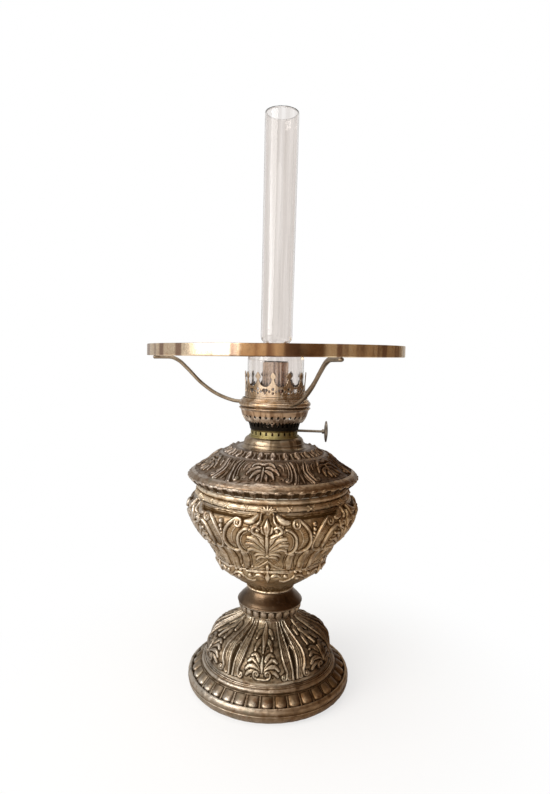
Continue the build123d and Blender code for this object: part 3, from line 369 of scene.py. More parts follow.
@dataclass
class Lathe:
    """Piece turned about the lamp's axis, with relief on the outer part of its section.

    Point of the surface: the section's point, moved along its normal by the relief and along the
    radius by the lobes, then turned about the axis.

    Attributes:
        name: Name of the piece.
        outer: Outside of the section, from its foot up.
        inner: Way back from the outside's top to its foot.
        steps: Points on the outside.
        sides: Points round the axis.
        turn: Degrees by which the panels are turned from the front.
        inner_steps: Points on the way back.
        cast: Unevenness of its casting in millimetres.
    """

    name: str
    outer: np.ndarray
    inner: Points | np.ndarray
    steps: int
    sides: int
    turn: float = 0.0
    inner_steps: int = 24
    cast: float = 0.0

    def lumps(self, outside: np.ndarray) -> np.ndarray:
        """Unevenness of a casting: two sizes of blurred random relief that fade out at the section's ends.

        Args:
            outside: Outer section.
        Returns:
            Relief in millimetres on the whole grid.
        """
        seeded = np.random.default_rng(len(self.name) + self.steps)
        pitch = (2 * math.pi * outside[:, 0].mean() / self.sides, np.linalg.norm(outside[1] - outside[0]))
        total = np.zeros((self.sides, self.steps))
        for reach, strength in LUMPS:
            windows = [max(1, round(reach / step)) for step in pitch]
            grain = blur(blur(seeded.normal(size=total.shape), *windows), *windows)
            total += strength * grain / grain.std()
        ends = np.minimum(np.arange(self.steps), np.arange(self.steps)[::-1])
        return self.cast * np.clip(total, -LUMP_LIMIT, LUMP_LIMIT) * np.clip(ends / FADE_STEPS, 0, 1)

    def carve(
        self, outside: np.ndarray, spread: np.ndarray, strokes: Sequence[Stroke], ornament_from: float
    ) -> np.ndarray:
        """Relief of the ornament on one panel, whose halves mirror each other.

        Args:
            outside: Outer section.
            spread: Degrees of the panel's rows from its middle.
            strokes: Ornament of one half panel.
            ornament_from: Height below which no stroke is laid.
        Returns:
            Relief in millimetres, rows by steps.
        """
        relief = np.zeros((len(spread), self.steps))
        if strokes:
            carved = np.flatnonzero(outside[:, 1] >= ornament_from)
            ground = outside[carved]
            half = spread[len(spread) // 2 :]
            panel = Panel(half, ground[:, 0], np.maximum.accumulate(ground[:, 1]), lengths(ground))
            for stroke in strokes:
                panel.lay(stroke)
            relief[:, carved] = np.concatenate([panel.field[::-1], panel.field])
        return relief

    def build(
        self,
        strokes: Sequence[Stroke] = (),
        ripple: Ripple | None = None,
        lobes: Pattern | None = None,
        ornament_from: float = -math.inf,
        shade_and_grime: Pattern | None = None,
    ) -> bpy.types.Object:
        """Makes the mesh.

        Args:
            strokes: Ornament of one half panel.
            ripple: Further relief, from degrees off the panel's middle, heights and radii.
            lobes: Change of radius, from degrees off the panel's middle and heights.
            ornament_from: Height below which no stroke is laid.
            shade_and_grime: Painted shade and dirt that is taken off the wear, from degrees off the panel's
                middle and heights.
        Returns:
            The new object, with its wear and painted shade as an attribute.
        """
        outside = even_path(self.outer, self.steps)
        inside = even_path(join(outside[-1:], self.inner, outside[:1]), self.inner_steps + 2)[1:-1]
        section = np.concatenate([outside, inside])
        tangent = np.gradient(outside, axis=0)
        normal = np.stack([tangent[:, 1], -tangent[:, 0]], axis=1)
        normal /= np.linalg.norm(normal, axis=1, keepdims=True) + TINY
        per_panel = self.sides // PANELS
        spread = (np.arange(per_panel) + 0.5) * PANEL_DEGREES / per_panel - HALF_PANEL
        offset = np.abs(spread)[:, None]
        relief = self.carve(outside, spread, strokes, ornament_from)
        if ripple:
            relief = relief + ripple(offset, outside[None, :, 1], outside[None, :, 0])
        shape = (per_panel, len(section))
        radii, heights = (np.broadcast_to(section[:, axis], shape).copy() for axis in (0, 1))
        radii[:, : self.steps] += relief * normal[:, 0]
        heights[:, : self.steps] += relief * normal[:, 1]
        if lobes:
            radii[:, : self.steps] += lobes(offset, outside[None, :, 1])
        radii, heights = np.tile(radii, (PANELS, 1)), np.tile(heights, (PANELS, 1))
        if self.cast:
            lumps = self.lumps(outside)
            radii[:, : self.steps] += lumps * normal[:, 0]
            heights[:, : self.steps] += lumps * normal[:, 1]
        first = FRONT + self.turn - HALF_PANEL
        angles = np.radians(first + (np.arange(self.sides) + 0.5) * 360 / self.sides)[:, None]
        points = np.stack([radii * np.cos(angles), radii * np.sin(angles), heights], axis=2)
        wear_and_shade = wear_and_shade_from_relief(points)
        # Painted shade and dirt lower the wear value, which darkens the colour.
        if shade_and_grime:
            painted_shade_and_dirt = np.broadcast_to(shade_and_grime(offset, section[None, :, 1]), shape)
            wear_and_shade = wear_and_shade - np.tile(painted_shade_and_dirt, (PANELS, 1))
        return make_object(self.name, points.reshape(-1, 3), grid_faces(self.sides, len(section)), wear_and_shade)


@dataclass
class Pierced:
    """Thin sheet turned about the lamp's axis and cut through where a shape function falls below zero.

    Cells of the grid whose mean value is above zero are kept, the points on their edge are moved onto the
    zero line, and the sheet is closed by walls between its two faces.

    Attributes:
        name: Name of the piece.
        outer: Section from its foot up.
        steps: Points on the section.
        sides: Points round the axis.
        wall: Thickness of the sheet.
        turn: Degrees by which the pattern is turned.
    """

    name: str
    outer: np.ndarray
    steps: int
    sides: int
    wall: float
    turn: float = 0.0

    def build(self, shape: Pattern) -> bpy.types.Object:
        """Makes the mesh.

        Args:
            shape: Millimetres to the nearest cut, from degrees and heights, above zero in the metal.
        Returns:
            The new object.
        """
        section = even_path(self.outer, self.steps)
        angles = np.arange(self.sides) * 360 / self.sides
        field = shape(angles[:, None], section[None, :, 1])
        here = [np.arange(self.sides)[:, None], np.arange(self.steps - 1)[None, :]]
        ahead = [(here[0] + 1) % self.sides, here[1] + 1]
        corners = [(here[0], here[1]), (ahead[0], here[1]), (ahead[0], ahead[1]), (here[0], ahead[1])]
        kept = sum(field[row, column] for row, column in corners) > 0
        pitch_up = np.linalg.norm(section[1] - section[0])
        pitch_round = 2 * math.pi * section[:, 0] / self.sides
        slope_round = (np.roll(field, -1, axis=0) - np.roll(field, 1, axis=0)) / (2 * pitch_round)
        slope_up = np.gradient(field, pitch_up, axis=1)
        steep = np.sqrt(slope_round**2 + slope_up**2 + 1e-6)
        padded = [np.pad(kept, ((0, 0), (side, 1 - side))) for side in (0, 1)]
        touched = sum(np.roll(cells, step, axis=0) * 1 for cells in padded for step in (0, 1))
        pull = np.where((touched > 0) & (touched < 4), np.clip(-field, -pitch_up, pitch_up), 0)
        above = section[None, :, 1] > section[0, 1]
        around = np.radians(angles[:, None] + self.turn) + pull * slope_round / steep / section[None, :, 0]
        level = section[None, :, 1] + pull * slope_up / steep * above
        radius = np.interp(level, section[:, 1], section[:, 0])
        faces = [
            np.stack([reach * np.cos(around), reach * np.sin(around), level], axis=2).reshape(-1, 3)
            for reach in (radius, radius - self.wall)
        ]
        count = self.sides * self.steps
        number = [(row * self.steps + column + 0 * kept)[kept] for row, column in corners]
        quads = [np.stack(number, axis=1), np.stack(number[::-1], axis=1) + count]
        beyond = [
            np.pad(kept, ((0, 0), (1, 0)))[:, :-1],
            np.roll(kept, -1, axis=0),
            np.pad(kept, ((0, 0), (0, 1)))[:, 1:],
            np.roll(kept, 1, axis=0),
        ]
        for edge, neighbour in enumerate(beyond):
            bare = ~neighbour[kept]
            first, second = number[edge][bare], number[(edge + 1) % 4][bare]
            quads.append(np.stack([second, first, first + count, second + count], axis=1))
        used, renumbered = np.unique(np.concatenate(quads), return_inverse=True)
        return make_object(self.name, np.concatenate(faces)[used], renumbered.reshape(-1, 4))


@dataclass
class Bar:
    """Bent bar of oval section that runs outwards from the lamp's axis in one upright plane.

    Attributes:
        name: Name of the piece.
        path: Radius and height along it.
        azimuth: Degrees of its plane.
        half_height: Half heights of the section at its start, middle and end.
        half_width: Half widths of the section at its start, middle and end.
        tilt: Rise of its outer end for each millimetre along x.
        tip: Share of its half length over which either end closes.
    """

    name: str
    path: np.ndarray
    azimuth: float
    half_height: Triple
    half_width: Triple
    tilt: float = 0.0
    tip: float = 0.03

    def build(self, steps: int = 90, sides: int = 28) -> bpy.types.Object:
        """Makes the mesh: an oval carried along the path, closed to a point at either end.

        Args:
            steps: Points along the path.
            sides: Points round the section.
        Returns:
            The new object.
        """
        line = even_path(self.path, steps)
        tangent = np.gradient(line, axis=0)
        tangent /= np.linalg.norm(tangent, axis=1, keepdims=True)
        share = np.linspace(0, 1, steps)
        closing = np.clip(np.abs(2 * share - 1) - (1 - self.tip), 0, 1)
        end = np.sqrt(np.clip(1 - closing**2 / self.tip**2, 0, 1))
        tall = np.interp(share, [0, 0.5, 1], self.half_height) * end
        wide = np.interp(share, [0, 0.5, 1], self.half_width) * end
        turn = np.arange(sides) * 2 * math.pi / sides
        up = tall[:, None] * np.sin(turn)
        radius = line[:, 0, None] - tangent[:, 1, None] * up
        level = line[:, 1, None] + tangent[:, 0, None] * up
        across = wide[:, None] * np.cos(turn)
        angle = math.radians(self.azimuth)
        x = radius * math.cos(angle) - across * math.sin(angle)
        y = radius * math.sin(angle) + across * math.cos(angle)
        outwards = np.clip((line[:, 0, None] - line[0, 0]) / (line[-1, 0] - line[0, 0]), 0, 1)
        points = np.stack([x, y, level + self.tilt * x * outwards], axis=2)
        step, side = np.meshgrid(np.arange(steps - 1), np.arange(sides), indexing="ij")
        ahead = (side + 1) % sides
        corners = [(step, side), (step, ahead), (step + 1, ahead), (step + 1, side)]
        faces = np.stack([(a * sides + b).ravel() for a, b in corners], axis=1)[:, ::-1]
        return make_object(self.name, points.reshape(-1, 3), faces)


class Value:
    """A node's number or colour that takes part in Python expressions, each adding its own node."""

    def __init__(self, sheet: "Sheet", socket: bpy.types.NodeSocket) -> None:
        """Keeps the socket and the sheet that it belongs to."""
        self.sheet = sheet
        self.socket = socket

    def _math(self, operation: str, first: "Value | float", second: "Value | float") -> "Value":
        """Adds a Math node."""
        return self.sheet.node("ShaderNodeMath", {"operation": operation}, {0: first, 1: second})

    def __add__(self, other: "Value | float") -> "Value":
        """Sum."""
        return self._math("ADD", self, other)

    __radd__ = __add__

    def __mul__(self, other: "Value | float") -> "Value":
        """Product."""
        return self._math("MULTIPLY", self, other)

    __rmul__ = __mul__

    def __sub__(self, other: "Value | float") -> "Value":
        """Difference."""
        return self._math("SUBTRACT", self, other)

    def __rsub__(self, other: float) -> "Value":
        """Difference from a number."""
        return self._math("SUBTRACT", other, self)

    def at_most(self, other: "Value | float") -> "Value":
        """Smaller of the two."""
        return self._math("MINIMUM", self, other)

    def at_least(self, other: "Value | float") -> "Value":
        """Larger of the two."""
        return self._math("MAXIMUM", self, other)

    def between(self, low: float, high: float) -> "Value":
        """Share of the way from low to high, eased and kept from 0 to 1."""
        limits = {"Value": self, "From Min": low, "From Max": high}
        return self.sheet.node("ShaderNodeMapRange", {"interpolation_type": "SMOOTHSTEP"}, limits)


class Sheet:
    """Node sheet of one material or world."""

    def __init__(self, tree: bpy.types.NodeTree) -> None:
        """Clears the tree's nodes."""
        self.tree = tree
        tree.nodes.clear()

    def node(
        self,
        kind: str,
        settings: dict[str, object] | None = None,
        inputs: dict[str | int, object] | None = None,
        output: str | int = 0,
    ) -> Value:
        """Adds a node.

        Args:
            kind: Blender's type of the node.
            settings: Its settings, set first.
            inputs: Values or links of its sockets.
            output: The socket to return.
        Returns:
            The chosen output.
        """
        made = self.tree.nodes.new(kind)
        for key, value in (settings or {}).items():
            setattr(made, key, value)
        for key, value in (inputs or {}).items():
            socket = made.inputs[key]
            if isinstance(value, Value):
                self.tree.links.new(value.socket, socket)
            elif isinstance(value, tuple) and len(value) == 3 and socket.type == "RGBA":
                socket.default_value = (*value, 1.0)
            else:
                socket.default_value = value
        return Value(self, made.outputs[output]) if made.outputs else Value(self, None)

    def place(self) -> Value:
        """Object coordinates in metres."""
        return self.node("ShaderNodeTexCoord", output="Object")

    def along(self, axis: str) -> Value:
        """One of the object coordinates in metres."""
        return self.node("ShaderNodeSeparateXYZ", {}, {"Vector": self.place()}, output=axis)

    def mark(self, name: str) -> Value:
        """A piece's own attribute."""
        return self.node("ShaderNodeAttribute", {"attribute_name": name}, output="Fac")

    def ray(self, kind: str) -> Value:
        """Whether a ray is of a kind: Camera, Glossy or Transmission."""
        return self.node("ShaderNodeLightPath", output=f"Is {kind} Ray")

    def noise(self, size: float, detail: float = 4.0, stretch: Triple = (1, 1, 1)) -> Value:
        """Cloudy pattern.

        Args:
            size: Size of its patches in millimetres.
            detail: Octaves of finer patches.
            stretch: How many times finer it is along each axis.
        Returns:
            Values about 0.5.
        """
        mapped = self.node("ShaderNodeMapping", {}, {"Vector": self.place(), "Scale": stretch})
        shape = {"Vector": mapped, "Scale": 1 / (size * MM), "Detail": detail, "Roughness": 0.6}
        return self.node("ShaderNodeTexNoise", {}, shape)

    def blend(
        self, share: Value | float, first: Value | Colour, second: Value | Colour, how: str = "MIX"
    ) -> Value:
        """Mixes two colours by a share."""
        settings = {"data_type": "RGBA", "blend_type": how}
        return self.node("ShaderNodeMix", settings, {0: share, 6: first, 7: second}, output=2)

    def bump(self, height: Value, depth: float, strength: float = 1.0) -> Value:
        """Normal from a height pattern of a depth in millimetres."""
        shape = {"Height": height, "Distance": depth * MM, "Strength": strength}
        return self.node("ShaderNodeBump", {}, shape)

    def surface(self, kind: str, inputs: dict[str | int, object]) -> None:
        """Adds a shader and the material's output, which takes it."""
        shader = self.node(kind, {}, inputs)
        self.node("ShaderNodeOutputMaterial", {}, {"Surface": shader})


def new_material(name: str) -> tuple[bpy.types.Material, Sheet]:
    """Makes a material with an empty sheet.

    Args:
        name: Name of the material.
    Returns:
        The material and its sheet.
    """
    material = bpy.data.materials.new(name)
    material.use_nodes = True
    return material, Sheet(material.node_tree)


@dataclass(frozen=True)
class Patches:
    """Cloudy patches that are painted over a colour.

    Attributes:
        size: Their size in millimetres.
        detail: Octaves of finer patches.
        stretch: How many times finer they are along each axis.
        low: Value of the cloudy pattern where a patch begins.
        high: Value where it is full.
        share: How strong they are.
    """

    size: float
    detail: float
    stretch: Triple
    low: float
    high: float
    share: float

    def over(self, sheet: Sheet, colour: Value, paint: Colour) -> Value:
        """Colour with patches of a paint on it."""
        noise = sheet.noise(self.size, self.detail, self.stretch)
        return sheet.blend(noise.between(self.low, self.high) * self.share, colour, paint)


UPRIGHT = (1.0, 1.0, 0.03)
TARNISH = Patches(11.0, 4.0, (1.1, 0.9, 1.0), 0.52, 0.7, 0.7)
STAINS = Patches(17.0, 5.0, (0.9, 1.15, 0.8), 0.54, 0.66, 0.49)
RUST = Patches(6.0, 3.0, (0.8, 1.0, 1.2), 0.57, 0.68, 0.5)
RUST_COLOUR: Colour = (0.17, 0.075, 0.026)
VERDIGRIS = Patches(8.0, 3.0, (1.2, 0.9, 0.8), 0.58, 0.7, 0.4)
VERDIGRIS_COLOUR: Colour = (0.19, 0.19, 0.125)
CLOUD_SIZE = 26.0
SPECK_SIZE = 0.9
BELT_EDGE = 0.0006
HOLLOW, CREST = (0.12, 0.5), (0.56, 0.9)  # value at which a hollow loses its patina and painted shade, and a crest turns bright with wear and painted highlight


@dataclass(frozen=True)
class Patina:
    """Finish of an old metal: dark with patina and painted shade in its hollows, bright with wear and painted
    highlight on its crests, cloudy between.

    Attributes:
        name: Name of the material.
        dark: Colour in the hollows.
        body: Colour of the plain surface.
        bright: Colour where it is rubbed.
        tint: Colour of the cloudy patches.
        rough: Roughness of the plain surface.
        carved: Whether the piece carries the attribute of wear and painted shade.
        left: Colour of painted light and shade that its left side is multiplied by.
        right: Colour of painted light and shade that its right side is multiplied by.
        reach: Half the width in metres over which one passes into the other.
        middle: Where along x they meet, in metres.
        far: Where along x, in metres, a third part of painted light and shade begins, and the colour it is
            multiplied by.
        reflection_streak: Colour of upright streaks of painted reflection, if it has any.
        reflection_streak_size: Width of the painted reflection streaks in millimetres.
        shade_belt: Lowest and highest point in metres of a belt of painted shade that is multiplied by
            shade_belt_colour.
        shade_belt_colour: That colour of painted shade.
        lining: Share of its colour that is left on faces that look towards the lamp's axis.
    """

    name: str
    dark: Colour
    body: Colour
    bright: Colour
    tint: Colour
    rough: float = 0.36
    carved: bool = False
    left: Colour = WHITE
    right: Colour = WHITE
    reach: float = 0.07
    middle: float = 0.0
    far: tuple[float, Colour] | None = None
    reflection_streak: Colour | None = None
    reflection_streak_size: float = 6.0
    shade_belt: tuple[float, float] | None = None
    shade_belt_colour: Colour = WHITE
    lining: float = 1.0

    def sides(self, sheet: Sheet, clouds: Value) -> Value:
        """Painted light and shade: colour that the metal is multiplied by from its left to its right.

        Args:
            sheet: The material's sheet.
            clouds: Cloudy pattern that breaks up the border.
        Returns:
            The colour.
        """
        sideways = sheet.along("X")
        border = sideways + (clouds - 0.5) * self.reach
        side = border.between(self.middle - self.reach, self.middle + self.reach)
        shade = sheet.blend(side, self.left, self.right)
        if self.far:
            start, colour = self.far
            shade = sheet.blend(sideways.between(start - self.reach, start + self.reach), shade, colour)
        return shade

    def lined(self, sheet: Sheet, colour: Value) -> Value:
        """Darkens faces whose normal points against the radius.

        Args:
            sheet: The material's sheet.
            colour: Colour of the metal.
        Returns:
            The colour with its lining.
        """
        radial = {0: sheet.place(), 1: (1.0, 1.0, 0.0)}
        outward = sheet.node("ShaderNodeVectorMath", {"operation": "MULTIPLY"}, radial)
        pair = {0: outward, 1: sheet.node("ShaderNodeNewGeometry", output="Normal")}
        turned = sheet.node("ShaderNodeVectorMath", {"operation": "DOT_PRODUCT"}, pair, output="Value")
        shade = (self.lining, self.lining * 0.85, self.lining * 0.7)
        return sheet.blend(1 - turned.between(-0.01, 0.002), colour, shade, "MULTIPLY")

    def make(self) -> bpy.types.Material:
        """Builds the material: patches, hollows dark with patina and painted shade, crests bright with wear
        and painted highlight, specks, upright streaks of painted reflection and a belt of painted shade over
        the body, then painted light and shade from its left to its right, and its lining.

        Returns:
            The material.
        """
        material, sheet = new_material(self.name)
        clouds = sheet.noise(CLOUD_SIZE)
        fine = sheet.noise(SPECK_SIZE * 4)
        specks = sheet.noise(SPECK_SIZE, 2.0)
        wear_and_shade = sheet.mark("wear_and_shade") if self.carved else fine * 0.5 + 0.27
        wear_and_shade = wear_and_shade + (fine - 0.5) * 0.22 + (clouds - 0.5) * 0.16
        # The hollow share darkens with patina and painted shade; the crest share brightens with wear and
        # painted highlight.
        hollow_patina_and_shade = 1 - wear_and_shade.between(*HOLLOW)
        rubbed_crest_and_highlight = wear_and_shade.between(*CREST)
        colour = sheet.blend(clouds.between(0.46, 0.68) * 0.6, self.body, self.tint)
        colour = sheet.blend(rubbed_crest_and_highlight, colour, self.bright)
        colour = TARNISH.over(sheet, colour, self.tint)
        colour = STAINS.over(sheet, colour, self.dark)
        if self.carved:
            colour = RUST.over(sheet, colour, RUST_COLOUR)
            colour = VERDIGRIS.over(sheet, colour, VERDIGRIS_COLOUR)
        colour = sheet.blend(hollow_patina_and_shade * 0.96, colour, self.dark)
        colour = sheet.blend(specks.between(0.62, 0.78) * 0.35, colour, self.dark)
        # Upright streaks of painted reflection.
        if self.reflection_streak:
            streaks = Patches(self.reflection_streak_size, 2.0, UPRIGHT, 0.47, 0.6, 0.85)
            colour = streaks.over(sheet, colour, self.reflection_streak)
        # A belt of painted shade.
        if self.shade_belt:
            low, high = self.shade_belt
            height = sheet.along("Z")
            inside = height.between(low - BELT_EDGE, low) * (1 - height.between(high, high + BELT_EDGE))
            colour = sheet.blend(inside, colour, self.shade_belt_colour, "MULTIPLY")
        # Painted light and shade along x: lighter or darker to the left and right.
        colour = sheet.blend(1.0, colour, self.sides(sheet, clouds), "MULTIPLY")
        if self.lining < 1.0:
            colour = self.lined(sheet, colour)
        rough = (self.rough + hollow_patina_and_shade * 0.28 - rubbed_crest_and_highlight * 0.1 + (fine - 0.5) * 0.22).at_least(0.12)
        looks = {
            "Base Color": colour,
            "Roughness": rough,
            "Metallic": 0.9 - hollow_patina_and_shade * 0.45,
            "Specular IOR Level": 0.02,
            "Normal": sheet.bump(specks, 0.08, 0.5),
        }
        sheet.surface("ShaderNodeBsdfPrincipled", looks)
        return material


@dataclass(frozen=True)
class Glass:
    """Finish of thin blown glass with a faint tint and soft streaks along its length.

    Attributes:
        name: Name of the material.
        colour: Tint of the glass.
        clear: Tint of the streaks.
    """

    name: str = "chimney_glass"
    colour: Colour = (0.815, 0.78, 0.755)
    clear: Colour = (0.92, 0.89, 0.87)

    def make(self) -> bpy.types.Material:
        """Builds the material.

        Returns:
            The material.
        """
        material, sheet = new_material(self.name)
        streaks = sheet.noise(5.0, 2.0, UPRIGHT)
        looks = {
            "Base Color": sheet.blend(streaks.between(0.46, 0.6), self.colour, self.clear),
            "Roughness": 0.02,
            "IOR": 1.46,
            "Transmission Weight": 1.0,
            "Normal": sheet.bump(streaks, 0.25, 0.3),
        }
        sheet.surface("ShaderNodeBsdfPrincipled", looks)
        return material


@dataclass(frozen=True)
class Weave:
    """Finish of woven cotton with a scorched top edge.

    Attributes:
        name: Name of the material.
        warp: Colour of the threads.
        weft: Colour between them.
        scorch: Colour of the scorched edge.
        scorch_from: Height in metres where the scorching begins.
    """

    name: str = "wick_cotton"
    warp: Colour = (0.8, 0.74, 0.62)
    weft: Colour = (0.62, 0.55, 0.42)
    scorch: Colour = (0.03, 0.025, 0.02)
    scorch_from: float = 0.3075

    def make(self) -> bpy.types.Material:
        """Builds the material.

        Returns:
            The material.
        """
        material, sheet = new_material(self.name)
        wave = {"Vector": sheet.place(), "Scale": 320.0, "Distortion": 1.5}
        threads = sheet.node("ShaderNodeTexWave", {"bands_direction": "Z"}, wave)
        scorched = sheet.along("Z").between(self.scorch_from, self.scorch_from + 0.003)
        colour = sheet.blend(threads * 0.5, self.warp, self.weft)
        colour = sheet.blend(scorched, colour, self.scorch)
        looks = {"Base Color": colour, "Roughness": 0.9, "Normal": sheet.bump(threads, 0.3)}
        sheet.surface("ShaderNodeBsdfPrincipled", looks)
        return material


class Metal(Enum):
    """The lamp's metals."""

    # left, right and far tint CHASED, LID, LIP, CAST, DOME, DARK, LIT_RIM and BAND with painted light and
    # shade along x.
    CHASED = Patina(
        "chased_bronze", dark=(0.065, 0.032, 0.008), body=(0.43, 0.325, 0.203),
        bright=(0.68, 0.585, 0.455), tint=(0.27, 0.16, 0.07),
        rough=0.44, carved=True, left=(0.7, 0.72, 0.8), right=(0.91, 0.86, 0.8), middle=-0.035, reach=0.04,
        far=(0.045, (0.66, 0.52, 0.37)),
    )
    LID = Patina(
        "lid_bronze", dark=(0.04, 0.022, 0.008), body=(0.25, 0.188, 0.13),
        bright=(0.46, 0.39, 0.31), tint=(0.15, 0.088, 0.042),
        rough=0.42, carved=True, left=(0.86, 0.88, 0.97), right=(0.42, 0.3, 0.2),
    )
    LIP = Patina(
        "lip_bronze", dark=(0.05, 0.028, 0.01), body=(0.32, 0.238, 0.158),
        bright=(0.54, 0.45, 0.345), tint=(0.2, 0.12, 0.058),
        rough=0.4, carved=True, left=(0.86, 0.88, 0.97), right=(0.6, 0.46, 0.32),
    )
    CAST = Patina(
        "cast_bronze", dark=(0.042, 0.024, 0.008), body=(0.3, 0.232, 0.157),
        bright=(0.6, 0.52, 0.41), tint=(0.17, 0.108, 0.052),
        rough=0.44, carved=True, left=(0.84, 0.87, 0.95), right=(0.52, 0.38, 0.25),
    )
    DOME = Patina(
        "dome_bronze", dark=(0.034, 0.019, 0.007), body=(0.38, 0.303, 0.213),
        bright=(0.58, 0.51, 0.41), tint=(0.2, 0.128, 0.064),
        rough=0.46, carved=True, left=(0.6, 0.61, 0.67), right=(0.95, 0.93, 0.9), middle=-0.035, reach=0.03,
        far=(0.035, (0.32, 0.21, 0.12)),
    )
    DARK = Patina(
        "dark_bronze", dark=(0.03, 0.02, 0.012), body=(0.17, 0.125, 0.086),
        bright=(0.5, 0.42, 0.33), tint=(0.1, 0.062, 0.036),
        rough=0.3, left=(0.9, 0.85, 0.8), right=(0.7, 0.55, 0.42), reach=0.028,
    )
    # The streaks of COLLAR, ROSE, BASKET, BAND and COPPER are painted reflections.
    COLLAR = Patina(
        "collar_bronze", dark=(0.045, 0.03, 0.018), body=(0.37, 0.295, 0.21),
        bright=(0.7, 0.61, 0.47), tint=(0.24, 0.155, 0.09),
        rough=0.32, reflection_streak=(0.12, 0.078, 0.04), reflection_streak_size=8.0,
    )
    # A lighter copy of the chased bronze: painted light on the bowl's rim, which sits under the lid's
    # overhang.
    LIT_RIM = Patina(
        "lit_rim_bronze", dark=(0.07, 0.036, 0.01), body=(0.6, 0.46, 0.3),
        bright=(0.7, 0.59, 0.44), tint=(0.38, 0.24, 0.12),
        rough=0.52, carved=True, left=(0.94, 0.96, 1.0), right=(0.76, 0.62, 0.46), middle=0.02,
    )
    # The belts of YELLOW and BASKET are painted shade: a dark line on the slotted ring and at the top of the
    # basket.
    YELLOW = Patina(
        "yellow_brass", dark=(0.14, 0.11, 0.04), body=(0.33, 0.275, 0.12),
        bright=(0.6, 0.53, 0.3), tint=(0.2, 0.155, 0.062),
        rough=0.34, shade_belt=(0.2456, 0.2476), shade_belt_colour=(0.2, 0.17, 0.14),
    )
    ROSE = Patina(
        "rose_brass", dark=(0.07, 0.045, 0.026), body=(0.48, 0.375, 0.275),
        bright=(0.8, 0.7, 0.56), tint=(0.3, 0.19, 0.11),
        rough=0.25, reflection_streak=(0.3, 0.19, 0.1), reflection_streak_size=7.0, lining=0.22,
    )
    BASKET = Patina(
        "basket_brass", dark=(0.08, 0.055, 0.035), body=(0.58, 0.48, 0.38),
        bright=(0.86, 0.77, 0.65), tint=(0.4, 0.29, 0.2),
        rough=0.32, shade_belt=(0.2604, 0.2648), shade_belt_colour=(0.75, 0.62, 0.5), reflection_streak=(0.24, 0.165, 0.11),
        reflection_streak_size=5.0,
    )
    BURNT = Patina(
        "burnt_bronze", dark=(0.006, 0.005, 0.004), body=(0.018, 0.014, 0.01),
        bright=(0.06, 0.048, 0.034), tint=(0.012, 0.01, 0.007),
        rough=0.6,
    )
    ARM = Patina(
        "arm_bronze", dark=(0.05, 0.034, 0.022), body=(0.25, 0.195, 0.138),
        bright=(0.54, 0.46, 0.36), tint=(0.15, 0.098, 0.058),
        rough=0.34,
    )
    KNOB = Patina(
        "knob_bronze", dark=(0.05, 0.04, 0.03), body=(0.22, 0.18, 0.14),
        bright=(0.5, 0.43, 0.35), tint=(0.14, 0.11, 0.08),
        rough=0.36,
    )
    # The ring's pale left is tarnish with painted light on it; its dark right and bright far end are painted
    # shade and painted light.
    BAND = Patina(
        "ring_bronze", dark=(0.13, 0.08, 0.045), body=(0.6, 0.45, 0.28),
        bright=(0.85, 0.7, 0.5), tint=(0.5, 0.33, 0.18),
        rough=0.22, left=(1.1, 1.17, 1.35), right=(0.42, 0.32, 0.245), reach=0.003, middle=-0.02,
        far=(0.045, (1.6, 1.75, 1.85)), reflection_streak=(0.19, 0.1, 0.06), reflection_streak_size=15.0,
    )
    COPPER = Patina(
        "tube_copper", dark=(0.14, 0.07, 0.045), body=(0.7, 0.54, 0.42),
        bright=(0.92, 0.78, 0.66), tint=(0.5, 0.29, 0.17),
        rough=0.2, reflection_streak=(0.17, 0.066, 0.03), reflection_streak_size=3.6,
    )
    TINNED = Patina(
        "tinned_brass", dark=(0.2, 0.18, 0.14), body=(0.55, 0.51, 0.43),
        bright=(0.75, 0.72, 0.65), tint=(0.4, 0.36, 0.28),
        rough=0.4,
    )
    STEEL = Patina(
        "plain_steel", dark=(0.2, 0.19, 0.18), body=(0.52, 0.51, 0.5),
        bright=(0.7, 0.7, 0.69), tint=(0.36, 0.33, 0.3),
        rough=0.35,
    )
    IRON = Patina(
        "cast_iron", dark=(0.03, 0.028, 0.026), body=(0.1, 0.095, 0.09),
        bright=(0.2, 0.19, 0.18), tint=(0.13, 0.08, 0.05),
        rough=0.7,
    )


class Finishes:
    """Materials, each built when it is first asked for."""

    def __init__(self) -> None:
        """Starts with none built."""
        self.made: dict[str, bpy.types.Material] = {}

    def get(self, finish: Patina | Glass | Weave) -> bpy.types.Material:
        """Builds a finish's material if it is new.

        Args:
            finish: The finish.
        Returns:
            Its material.
        """
        if finish.name not in self.made:
            self.made[finish.name] = finish.make()
        return self.made[finish.name]


@dataclass
class Assembly:
    """What every part of the lamp shares: placing its pieces and dressing its solids.

    Attributes:
        finishes: The shared materials.
        body: Body of the lamp that its pieces ride with.
    """

    finishes: Finishes
    body: str = "stand"

    def settle(self, piece: bpy.types.Object, finish: Patina | Glass | Weave, slot: str, *nodes: str) -> None:
        """Gives a new piece its material and body, and hides the solids that it stands for.

        Args:
            piece: The new piece.
            finish: Its finish.
            slot: The record's material slot; not used.
            nodes: Solids that it stands for.
        """
        piece.data.materials.clear()
        piece.data.materials.append(self.finishes.get(finish))
        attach(piece, self.body)
        if nodes:
            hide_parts(*nodes)
        log.info("%s: %d faces", piece.name, len(piece.data.polygons))

    def dress(self, finish: Patina | Glass | Weave, *nodes: str) -> None:
        """Gives solids that stay in sight a material.

        Args:
            finish: Their finish.
            nodes: The solids.
        """
        for node in nodes:
            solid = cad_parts[node]
            solid.data.materials.clear()
            solid.data.materials.append(self.finishes.get(finish))
            log.info("%s dressed", node)


